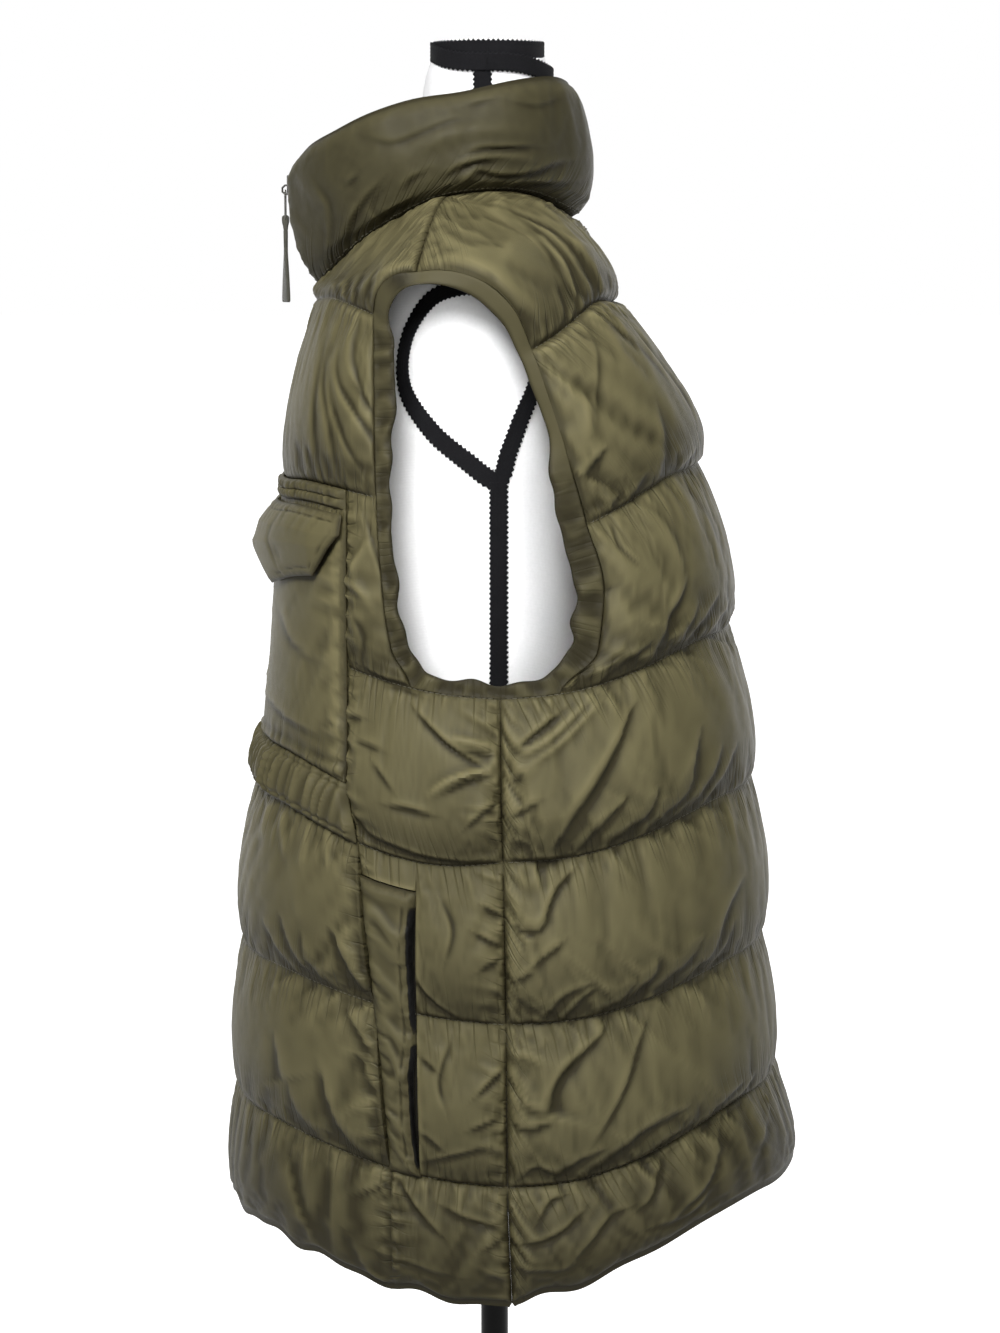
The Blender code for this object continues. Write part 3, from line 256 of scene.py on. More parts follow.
def collar_surface(shares, rows):
    """The collar's inner face. Shares: 0 at the zip, 1 at the shoulder seam, 2 at the centre back."""
    shares = np.asarray(shares, float)
    front = top_edge(shares[shares <= 1], "front")
    back = top_edge((2 - shares[shares > 1])[::-1], "back")[::-1]
    foot = np.vstack([front, back])
    run = run_of(foot)
    rim = along(symmetric_curve(COLLAR_RIM), run / run[-1], ZIP_HALF_GAP)
    rim[-1, 0] = 0
    middle = (rim + foot) / 2
    outward = unit(middle - np.array([0, -32, 0]) - np.array([0, 0, 1]) * middle)
    bow = np.interp(run / run[-1], [0.4, 1.0], COLLAR_BOW)[:, None] * outward
    grid = np.array([foot * (1 - s) + rim * s + bow * 4 * s * (1 - s) for s in rows])
    grid[:, -1, 0] = 0
    return grid


print("waist at the side:", body_surface("front", [4], [3.0])[0, 0].round())

# %% [markdown]
# ## Which way the cloth faces
# Each sewn piece is a wall: a plain inner face and a padded outer face, which stands off along the
# surface's normals. Pieces that meet share their normals along the seam, so that neither wall runs into
# the other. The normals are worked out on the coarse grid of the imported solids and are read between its
# points.
# %% Shared normals
COARSE_LEVELS = np.array([0, 0.2, 0.5, 0.8, 1, 1.2, 1.5, 1.8, 2, 2.1, 2.25, 2.5, 2.8, 3, 3.2, 3.5, 3.65,
                          3.8, 4, 4.2, 4.5, 4.8, 5, 5.2, 5.5, 5.8, 6, 6.2, 6.5, 6.8, 7])
COLLAR_ROWS = np.array([0.0, 0.16, 0.5, 0.84, 1.0])
# Steps between columns 0, 1, 2 and 3, and the columns on the neck seam and on the shoulder seam.
FRONT_STEPS, BACK_STEPS = (8, 4, 3), (7, 4, 3)
FRONT_NECK, BACK_NECK = slice(0, 9), slice(0, 8)
FRONT_SHOULDER, BACK_SHOULDER = slice(8, 13), slice(7, 12)
LINE_3, MIDDLE = 13, 15  # rows of the armhole's foot and of the middle of a channel


def coarse_columns(segments):
    """Columns 0 to 3, with a number of steps between each two of them."""
    return np.concatenate([k + np.arange(n) / n for k, n in enumerate(segments)] + [[3.0]])


def normals_of(surface):
    """Directions square to a grid, at each of its points."""
    return unit(np.cross(np.gradient(surface, axis=0), np.gradient(surface, axis=1)))


FRONT_COLUMNS, BACK_COLUMNS = coarse_columns(FRONT_STEPS), coarse_columns(BACK_STEPS)
coarse_front = body_surface("front", COARSE_LEVELS, FRONT_COLUMNS)
coarse_back = body_surface("back", COARSE_LEVELS, BACK_COLUMNS)
coarse_back[LINE_3:, -1] = coarse_front[LINE_3:, -1]
front_out, back_out = normals_of(coarse_front), -normals_of(coarse_back)
for out, outward in ((front_out, -1), (back_out, 1)):
    if out[MIDDLE, 2, 1] * outward < 0:
        out *= -1
back_out[:, 0, 0] = 0
back_out[:, 0] = unit(back_out[:, 0])
COLLAR_SHARES = np.concatenate([FRONT_COLUMNS[FRONT_NECK], 2 - BACK_COLUMNS[BACK_NECK][-2::-1]])
collar_out = normals_of(collar_surface(COLLAR_SHARES, COLLAR_ROWS))
if collar_out[2, -1, 1] < 0:
    collar_out *= -1
collar_out[:, -1, 0] = 0
collar_out = unit(collar_out)
front_out[LINE_3:, -1] = back_out[LINE_3:, -1] = unit(front_out[LINE_3:, -1] + back_out[LINE_3:, -1])
front_out[0, FRONT_SHOULDER] = back_out[0, BACK_SHOULDER] = unit(front_out[0, FRONT_SHOULDER]
                                                                 + back_out[0, BACK_SHOULDER])
neck_out = unit(np.vstack([front_out[0, FRONT_NECK], back_out[0, BACK_NECK][-2::-1]]) + collar_out[0])
for _ in range(3):
    neck_out[1:-1] = unit(neck_out[:-2] + 2 * neck_out[1:-1] + neck_out[2:])
collar_out[0] = neck_out
front_out[0, FRONT_NECK] = neck_out[FRONT_NECK]
back_out[0, BACK_NECK] = neck_out[FRONT_NECK.stop - 1:][::-1]


def read_between(table, row_knots, column_knots, rows, columns):
    """A grid's values at any rows and columns, straight between its points."""
    def spread(values, knots, at):
        low = np.clip(np.searchsorted(knots, at, side="right") - 1, 0, len(knots) - 2)
        t = ((at - knots[low]) / (knots[low + 1] - knots[low])).reshape((-1,) + (1,) * (values.ndim - 1))
        return values[low] * (1 - t) + values[low + 1] * t
    tall = spread(table, np.asarray(row_knots), np.asarray(rows, float))
    return np.swapaxes(spread(np.swapaxes(tall, 0, 1), np.asarray(column_knots),
                              np.asarray(columns, float)), 0, 1)


def cloth_place(face, rows, columns):
    """Inner points and outward normals. Negative columns are on the right half. The collar's columns
    run from 0 at the centre back to 2 at the zip."""
    columns = np.asarray(columns, float)
    order, back_to = np.unique(np.abs(columns), return_inverse=True)
    if face == "collar":
        shares = (2 - order)[::-1]
        points = collar_surface(shares, rows)[:, ::-1]
        out = read_between(collar_out, COLLAR_ROWS, COLLAR_SHARES, rows, shares)[:, ::-1]
    elif face == "front":
        points = body_surface("front", rows, order)
        out = read_between(front_out, COARSE_LEVELS, FRONT_COLUMNS, rows, order)
    else:
        points = body_surface("back", rows, order)
        side = body_surface("front", rows, [3.0]) - body_surface("back", rows, [3.0])
        points += side * (smoothstep(order - 2) * (np.asarray(rows)[:, None] >= 3))[..., None]
        out = read_between(back_out, COARSE_LEVELS, BACK_COLUMNS, rows, order)
    flip = np.ones((1, len(columns), 3))
    flip[0, columns < 0, 0] = -1
    return points[:, back_to] * flip, unit(out[:, back_to]) * flip


print("the back's middle faces", back_out[MIDDLE, 0].round(2))

# %% [markdown]
# ## Quilted pieces
# Each piece is cut from the surfaces above as a grid with rows close together beside the stitch lines.
# The filling lifts the cloth between the lines, most of all below the middle of a channel, where it
# sags. The cloth between two lines is a strip of its own, held along its edges. Cloth simulation with
# a little air pressure and too much cloth gives the gathers, since that is how they come about.
# %% Grids, channels and their filling
SEAM_GAP, SEAM_REACH = 0.06, 15.0
STITCH_HEIGHT = 2.0
# For each channel from the shoulder to the hem: how its fullest place sags, how full it is in mm, and
# what is left of that at the centre line, where the cloth is drawn round the body most tightly.
CHANNEL_SAG = {"front": (0.8, 1.0, 1.4, 1.5, 1.5, 1.5, 1.0),
               "back": (1.2, 0.75, 1.4, 1.3, 1.4, 1.5, 1.0)}
CHANNEL_FULL = {"front": (8.0, 9.0, 8.0, 9.5, 9.5, 9.5, 9.0),
                "back": (11.0, 13.0, 10.5, 10.5, 10.5, 10.5, 10.0)}
CENTRE_SHARE = {"front": (0.6, 0.5, 0.8, 0.8, 0.5, 0.5, 0.4),
                "back": (1.0, 1.15, 0.8, 0.6, 0.62, 0.52, 0.45)}


def stops_with(stops, counts, ease=0.0):
    """Places from the first stop to the last, `counts` steps between each two, closer near the stops."""
    places = []
    for low, high, count in zip(stops, stops[1:], counts):
        t = np.arange(count) / count
        places.append(low + (high - low) * (t - ease / (2 * math.pi) * np.sin(2 * math.pi * t)))
    return np.concatenate(places + [[float(stops[-1])]])


print("eight steps that lie closer near the lines:", stops_with((0, 1), (8,), 0.35).round(2))

# %% How full a place is
def channel_shape(face, level):
    """0 on a stitch line, 1 where the channel is fullest."""
    channel = np.clip(np.floor(level), 0, 6).astype(int)
    f = (level - channel) ** np.array(CHANNEL_SAG[face])[channel]
    return np.maximum(1 - np.abs(2 * f - 1) ** 2.0, 0) ** 0.62


def rolled(distance, radius):
    """How a free edge rounds off: 0 on it, 1 from `radius` inward."""
    return np.sqrt(1 - (1 - np.clip(distance / radius, 0, 1)) ** 2)


def run_across(points):
    """Length along each row of a grid."""
    return np.concatenate([np.zeros((len(points), 1)),
                           np.cumsum(np.linalg.norm(np.diff(points, axis=1), axis=2), axis=1)], axis=1)


def run_down(points):
    """Length down each column of a grid."""
    return np.swapaxes(run_across(np.swapaxes(points, 0, 1)), 0, 1)


def to_ends(run):
    """Distance to the nearer end of each row."""
    return np.minimum(run, run[:, -1:] - run)


def to_edges(run, drop):
    """Distance to the nearest edge of a grid."""
    return np.minimum(to_ends(run), to_ends(drop.T).T)


def edge_fade(distance, reach=SEAM_REACH):
    """0 on an edge, 1 from `reach` mm inward, rising fast at first."""
    return (1 - (1 - np.clip(distance / reach, 0, 1)) ** 2.2) ** 0.7


def near_columns(points, columns, seams):
    """Distance along the rows to the nearest of the seam columns."""
    run = run_across(points)
    spots = [int(np.argmin(np.abs(columns - seam))) for seam in seams]
    return np.min([np.abs(run - run[:, [k]]) for k in spots] + [np.full_like(run, 99.0)], axis=0)


def centre_share(face, channel, columns):
    """The share of its fullness that each place keeps toward the centre line."""
    left = np.array(CENTRE_SHARE[face])[channel][:, None]
    return left + (1 - left) * smoothstep((np.abs(columns)[None, :] - 0.35) / 0.9)


def puffed(face, points, levels, columns, seams):
    """Resting height of the outer cloth over the inner face, in mm."""
    across = edge_fade(near_columns(points, columns, seams))
    armholes = [seam for seam in (-2, 2) if np.abs(columns - seam).min() < 1e-6]
    pinched = smoothstep((levels - 0.5) / 0.7) * (levels < 3)
    across *= 1 - 0.8 * pinched[:, None] * (1 - edge_fade(near_columns(points, columns, armholes), 20))
    channel = np.minimum(np.floor(levels), 6).astype(int)
    full = np.array(CHANNEL_FULL[face])[channel] * channel_shape(face, levels)
    return STITCH_HEIGHT + full[:, None] * across * centre_share(face, channel, columns)


print("a channel is fullest", round(0.5 ** (1 / CHANNEL_SAG["back"][4]), 2), "of the way down")

# %% [markdown]
# ## Letting the cloth settle
# All strips settle together, frame by frame. Small ripples in the starting shape are the spare cloth.
# The run is short, its result is kept as plain numbers, and the helper objects go.
# %% Strips of cloth
SETTLE_FRAMES = 24
STRIPS = []


def ripples(rng, run, drop):
    """Slanting ripples that hold the spare cloth: more near the lower stitch line."""
    waves = np.zeros_like(run)
    for _ in range(3):
        pitch = rng.uniform(20, 42)
        slant = rng.uniform(-0.5, 0.8)
        phase = rng.uniform(0, 6.28) + 1.3 * np.sin(run / rng.uniform(50, 90) + rng.uniform(0, 6.28))
        waves += np.sin(2 * math.pi * (run + slant * drop) / pitch + phase)
    return waves / 1.7


def add_strip(owner, face, rows, columns, height, seed, ripple, pressure, spare, mirror):
    """Registers one strip of cloth, whose edges stay at the given height over the inner face."""
    points, out = cloth_place(face, rows, columns)
    rng = np.random.default_rng(seed)
    run, drop = run_across(points), run_down(points)
    held = np.zeros(points.shape[:2], bool)
    held[[0, -1]] = held[:, [0, -1]] = True
    free = np.minimum(edge_fade(drop, 12), edge_fade(drop[-1:] - drop, 12))
    lift = height(rows, columns, points) + ripple * ripples(rng, run, drop) * free
    lift += rng.normal(0, 0.12, lift.shape)
    lift[held] = height(rows, columns, points)[held]
    STRIPS.append({"owner": owner, "rows": rows, "columns": columns, "points": points, "out": out,
                   "start": points + out * np.maximum(lift, 1.0)[..., None], "held": held,
                   "pressure": pressure, "spare": spare, "mirror": mirror})


sample = ripples(np.random.default_rng(0), np.arange(0, 50, 10.0), 0)
print("ripples at the start of a strip:", sample.round(1))

# %% Objects and settings of the cloth
def strip_object(strip, number):
    """A grid with the strip's starting shape, pinned along its edges."""
    rows, columns = strip["held"].shape
    bpy.ops.mesh.primitive_grid_add(x_subdivisions=columns - 1, y_subdivisions=rows - 1, size=1)
    obj = bpy.context.object
    obj.name = f"strip_{number}"
    obj.data.vertices.foreach_set("co", (strip["start"] * MM).astype(np.float32).ravel())
    if strip_faces_in(obj, strip["out"]):
        obj.data.flip_normals()
    group = obj.vertex_groups.new(name="sewn")
    group.add(np.flatnonzero(strip["held"].ravel()).tolist(), 1.0, "REPLACE")
    cloth = obj.modifiers.new("settle", "CLOTH")
    set_cloth(cloth, strip["pressure"], strip["spare"])
    return obj


def strip_faces_in(obj, out):
    """Whether the strip faces the body. Pressure has to blow it outward."""
    face = obj.data.polygons[len(obj.data.polygons) // 2]
    return face.normal.dot(Vector(out.reshape(-1, 3)[face.vertices[0]])) < 0


def set_cloth(cloth, pressure, spare):
    """Light nylon that hardly stretches, a little too large for its frame, over a breath of air."""
    s = cloth.settings
    s.quality, s.mass, s.air_damping = 4, 0.15, 2
    s.tension_stiffness = s.compression_stiffness = 20
    s.shear_stiffness, s.bending_stiffness = 6, 0.2
    s.tension_damping = s.compression_damping = s.shear_damping = 8
    s.bending_damping = 1
    s.shrink_min = -spare
    s.vertex_group_mass = "sewn"
    s.use_pressure, s.uniform_pressure_force = True, pressure
    s.effector_weights.gravity = 0.3
    cloth.collision_settings.use_collision = False
    cloth.point_cache.frame_end = SETTLE_FRAMES + 1


print("a strip's grid of 5 by 5 points is pinned at", 25 - 3 * 3, "of them")

# %% Letting all strips settle
def settle():
    """Runs the cloth of every strip and keeps how far it moved off the inner face."""
    for strip in STRIPS:
        strip["moved"] = strip["start"] - strip["points"]
    began = time.time()
    objects = [strip_object(strip, k) for k, strip in enumerate(STRIPS)]
    for step in range(1, SETTLE_FRAMES + 1):
        bpy.context.scene.frame_set(step)
    graph = bpy.context.evaluated_depsgraph_get()
    for strip, obj in zip(STRIPS, objects):
        flat = np.empty(strip["held"].size * 3, np.float32)
        obj.evaluated_get(graph).data.vertices.foreach_get("co", flat)
        strip["moved"] = flat.reshape(strip["points"].shape) / MM - strip["points"]
    for obj in objects:
        mesh = obj.data
        bpy.data.objects.remove(obj)
        bpy.data.meshes.remove(mesh)
    bpy.context.scene.frame_set(0)
    points = sum(strip["held"].size for strip in STRIPS)
    print("cloth settled in", round(time.time() - began, 1), "s:", points, "points")


print("strips settle over", SETTLE_FRAMES, "frames")

# %% [markdown]
# ## From grid to sewn wall
# A sewn piece needs two faces and a turned edge. The outer face keeps every row. The inner one is plain
# lining, so it takes every second row and column, and the turned edge joins the two. The lengths along
# the cloth become its UV map, so that the weave follows the piece.
# %% Borders of a piece
def edge_sides(keep):
    """On which sides of each grid point the kept cells end."""
    cells = np.zeros((keep.shape[0] + 2, keep.shape[1] + 2), bool)
    cells[1:-1, 1:-1] = keep
    nw, ne, sw, se = cells[:-1, :-1], cells[:-1, 1:], cells[1:, :-1], cells[1:, 1:]
    return ((nw & ~ne) | (sw & ~se), (ne & ~nw) | (se & ~sw),
            (nw & ~sw) | (ne & ~se), (sw & ~nw) | (se & ~ne))


def into_cloth(points, keep):
    """Unit steps from the border of a piece into it, and zero elsewhere."""
    step = np.zeros_like(points)
    for cloth, (shift, axis) in zip(edge_sides(keep), ((1, 1), (-1, 1), (1, 0), (-1, 0))):
        step += unit(np.roll(points, shift, axis=axis) - points) * cloth[..., None]
    return unit(step)


print("points on the border of 4 by 4 cells:", int(sum(edge_sides(np.ones((4, 4), bool))).sum()))

# %% Faces of a wall and of a tube
def wall_faces(keep):
    """Quads of both faces and of the turned edge, as rows of point numbers: outer, two rings, inner."""
    rows, columns = keep.shape[0] + 1, keep.shape[1] + 1
    number = np.arange(rows * columns).reshape(rows, columns)
    layer = rows * columns
    i, j = np.nonzero(keep)
    faces = np.stack([number[i, j], number[i, j + 1],
                      number[i + 1, j + 1], number[i + 1, j]], 1).tolist()
    wide = np.zeros((rows // 2 + 2, columns // 2 + 2), bool)
    wide[1:-1, 1:-1] = keep[::2, ::2]
    i, j = np.nonzero(wide[1:-1, 1:-1])
    a, b, c, d = (number[2 * i, 2 * j], number[2 * i + 2, 2 * j], number[2 * i + 2, 2 * j + 2],
                  number[2 * i, 2 * j + 2])
    faces += (np.stack([a, b, c, d], 1) + 3 * layer).tolist()
    i, j = i + 1, j + 1
    for di, dj, start, end in ((-1, 0, d, a), (0, -1, a, b), (1, 0, b, c), (0, 1, c, d)):
        edge = ~wide[i + di, j + dj]
        s, e = start[edge], end[edge]
        m = (s + e) // 2
        faces += np.stack([s, m, m + layer, s + layer], 1).tolist()
        faces += np.stack([m, e, e + layer, m + layer], 1).tolist()
        faces += np.stack([s + layer, m + layer, e + layer, e + 2 * layer, s + 2 * layer], 1).tolist()
        faces += np.stack([s + 2 * layer, e + 2 * layer, e + 3 * layer, s + 3 * layer], 1).tolist()
    return faces


def tube_faces(number, closed=False):
    """Quads round a tube. Each row of `number` holds the points of one line along it. An open tube is
    capped at both ends."""
    beside = np.roll(number, -1, axis=0)
    if closed:
        corners = [number, beside, np.roll(beside, -1, axis=1), np.roll(number, -1, axis=1)]
        return np.stack(corners, -1).reshape(-1, 4).tolist()
    corners = [number[:, :-1], beside[:, :-1], beside[:, 1:], number[:, 1:]]
    return np.stack(corners, -1).reshape(-1, 4).tolist() + [number[::-1, 0].tolist(), number[:, -1].tolist()]


print("a capped tube of 8 lines has", len(tube_faces(np.arange(80).reshape(8, 10))), "faces")

# %% Meshes from points
def mesh_of(name, points, faces, uv=None, values=None):
    """An object from points in mm and faces. UV lengths are given in mm, one pair for each point."""
    points = np.asarray(points, float)
    used, packed = np.unique(np.concatenate([np.ravel(f) for f in faces]), return_inverse=True)
    cuts = np.cumsum([len(f) for f in faces])[:-1]
    mesh = bpy.data.meshes.new(name)
    mesh.from_pydata((points[used] * MM).tolist(), [], [f.tolist() for f in np.split(packed, cuts)])
    mesh.shade_smooth()
    corner = np.empty(len(mesh.loops), np.int32)
    mesh.loops.foreach_get("vertex_index", corner)
    if uv is not None:
        layer = mesh.uv_layers.new(name="cloth")
        layer.data.foreach_set("uv", (np.asarray(uv, float)[used][corner] * MM).ravel())
    for key, numbers in (values or {}).items():
        layer = mesh.attributes.new(key, "FLOAT", "POINT")
        layer.data.foreach_set("value", np.asarray(numbers, float)[used])
    obj = bpy.data.objects.new(name, mesh)
    bpy.context.scene.collection.objects.link(obj)
    if volume_of(mesh) < 0:
        mesh.flip_normals()
    return obj


def volume_of(mesh):
    """Signed volume: below zero, the mesh is inside out."""
    mesh.calc_loop_triangles()
    corners = np.empty(len(mesh.loop_triangles) * 3, np.int32)
    mesh.loop_triangles.foreach_get("vertices", corners)
    place = np.empty(len(mesh.vertices) * 3, np.float32)
    mesh.vertices.foreach_get("co", place)
    a, b, c = np.moveaxis(place.reshape(-1, 3).astype(float)[corners.reshape(-1, 3)], 1, 0)
    return float((a * np.cross(b, c)).sum() / 6)


print("meshes so far:", len(bpy.data.meshes))

# %% Sewn walls
def sewn_wall(name, outer, inner, keep, run, drop, fold, values):
    """The closed wall between two grids, its border drawn in by half a seam gap and folded over."""
    into = into_cloth(inner, keep)
    outer, inner = outer + into * SEAM_GAP / 2, inner + into * SEAM_GAP / 2
    thick = outer - inner
    over = into * np.broadcast_to(fold, outer.shape[:2])[..., None]
    layers = [outer, inner + thick * 0.7 - over, inner + thick * 0.25 - over * 0.9, inner]
    points = np.concatenate([layer.reshape(-1, 3) for layer in layers])
    uv = np.tile(np.stack([run, drop], -1).reshape(-1, 2), (4, 1))
    values = {key: np.tile(field.ravel(), 4) for key, field in values.items()}
    obj = mesh_of(name, points, wall_faces(keep), uv, values)
    obj.data.set_sharp_from_angle(angle=math.radians(62))
    return obj


print("a wall closes", len(wall_faces(np.ones((4, 4), bool))), "faces round four by four cells")

# %% [markdown]
# ## Folds
# Three kinds are laid over the settled cloth. Gathers are the short pleats that fan out from stitches,
# because thread draws cloth in. Folds sag over a stitch line and run up from it, and creases are the
# sharp ones. The last two are drawn as lines in the side view, as a maker would chalk them.
# %% Gathers
def gathers(rng, run, away, pitch, reach, tall, thick=1.0):
    """Pleats square to a stitch line. `run` is the length along it and `away` the distance from it."""
    field = np.zeros_like(run)
    spots = np.arange(run.min(), run.max(), pitch)
    for at in spots + rng.uniform(-0.45, 0.45, len(spots)) * pitch:
        wide, long = thick * rng.uniform(1.5, 3.4), reach * rng.uniform(0.3, 1.0)
        slant, high = rng.uniform(-0.3, 0.3), tall * rng.uniform(0.35, 1.0)
        near = (np.abs(run - at) < 4 * wide + long * abs(slant)) & (away > 0) & (away < long)
        x = (run[near] - at - slant * away[near]) / wide
        v = away[near]
        field[near] += high * (np.exp(-x * x) - 0.5 * np.exp(-(x - 1.7) ** 2)) * (
            np.clip(v / 2.2, 0, 1) * (1 - v / long) ** 1.5)
    return field


sample = gathers(np.random.default_rng(0), *np.mgrid[0:60.0, 0:30.0], 6.0, 26, 1.3)
print("gathers stand up to", round(float(sample.max()), 1), "mm high")

# %% Folds and creases beside a chalk line
def beside_line(shown, line):
    """Signed distance from a chalk line, in pixels of the side view, and the share of its length."""
    line = catmull_rom(line, 6) if len(line) > 2 else np.asarray(line, float)
    run = run_of(line)
    best = np.full(len(shown), 1e9)
    signed, share = np.zeros(len(shown)), np.zeros(len(shown))
    for k, (a, b) in enumerate(zip(line, line[1:])):
        along_it, length = (b - a) / max(np.linalg.norm(b - a), 1e-6), np.linalg.norm(b - a)
        t = np.clip((shown - a) @ along_it, 0, length)
        off = shown - a - t[:, None] * along_it
        far = np.linalg.norm(off, axis=1)
        nearer = far < best
        best[nearer] = far[nearer]
        turn = along_it[0] * off[:, 1] - along_it[1] * off[:, 0]
        signed[nearer] = np.where(turn < 0, -far, far)[nearer]
        share[nearer] = ((run[k] + t) / run[-1])[nearer]
    return signed, share


def drawn_folds(lines, shown, strength):
    """Height added by the chalked folds and creases at points seen at `shown` in the side view, and the
    painted shade that each point gets in a fold, from 0 to 1."""
    field, depth = np.zeros(len(shown)), np.zeros(len(shown))
    for kind, tall, wide, *line in lines:
        low, high = np.min(line, axis=0) - 12 * wide, np.max(line, axis=0) + 12 * wide
        near = np.flatnonzero(((shown > low) & (shown < high)).all(axis=1))
        if not len(near):
            continue
        x, t = beside_line(shown[near], line)
        if kind.startswith("fold"):
            x = x / (wide * (2.5 - 2.1 * t ** 0.75))
            x = -x if kind == "fold_under" else x
            shape = np.where(x < 0, 0.8 * np.exp(x / 2.8), -0.9 * np.exp(-x / 1.9)) * np.tanh(np.abs(x) * 1.7)
            fade = np.clip(t / 0.06, 0, 1) * np.clip((1 - t) / 0.6, 0, 1) ** 0.7
            inside = np.exp(-((x - 0.45) / np.where(x < 0.45, 0.4, 0.95)) ** 2)
        elif kind == "ridge":
            shape = np.exp(-(x / wide / 1.2) ** 2)
            fade = np.sin(math.pi * np.clip(t, 0.02, 0.98)) ** 0.6
            inside = 0 * x  # a ridge holds no shadow
        else:
            turn = np.subtract(line[-1], line[0])
            x = x / max(wide, 4.2) * (1 if turn[0] > 0.5 * turn[1] else -1)
            shape = np.where(x < 0, 0.6 * np.exp(x / 1.7), -0.9 * np.exp(-x / 1.1)) * np.tanh(np.abs(x) * 1.8)
            fade = np.sin(math.pi * np.clip(t, 0.02, 0.98)) ** 0.6
            inside = np.exp(-((x - 0.35) / np.where(x < 0.35, 0.45, 0.8)) ** 2)
        field[near] += strength * tall * shape * fade
        depth[near] = np.maximum(depth[near], min(1, 0.25 + tall / 3.6) * inside * fade)
    return field, depth


sample = drawn_folds([("crease", 1.5, 3.0, (0.0, 0.0), (0.0, 60.0))],
                     np.mgrid[-20:20.0, 1:60.0].reshape(2, -1).T, 1.0)[0]
print("a crease goes from", round(float(sample.min()), 1), "to", round(float(sample.max()), 1), "mm")

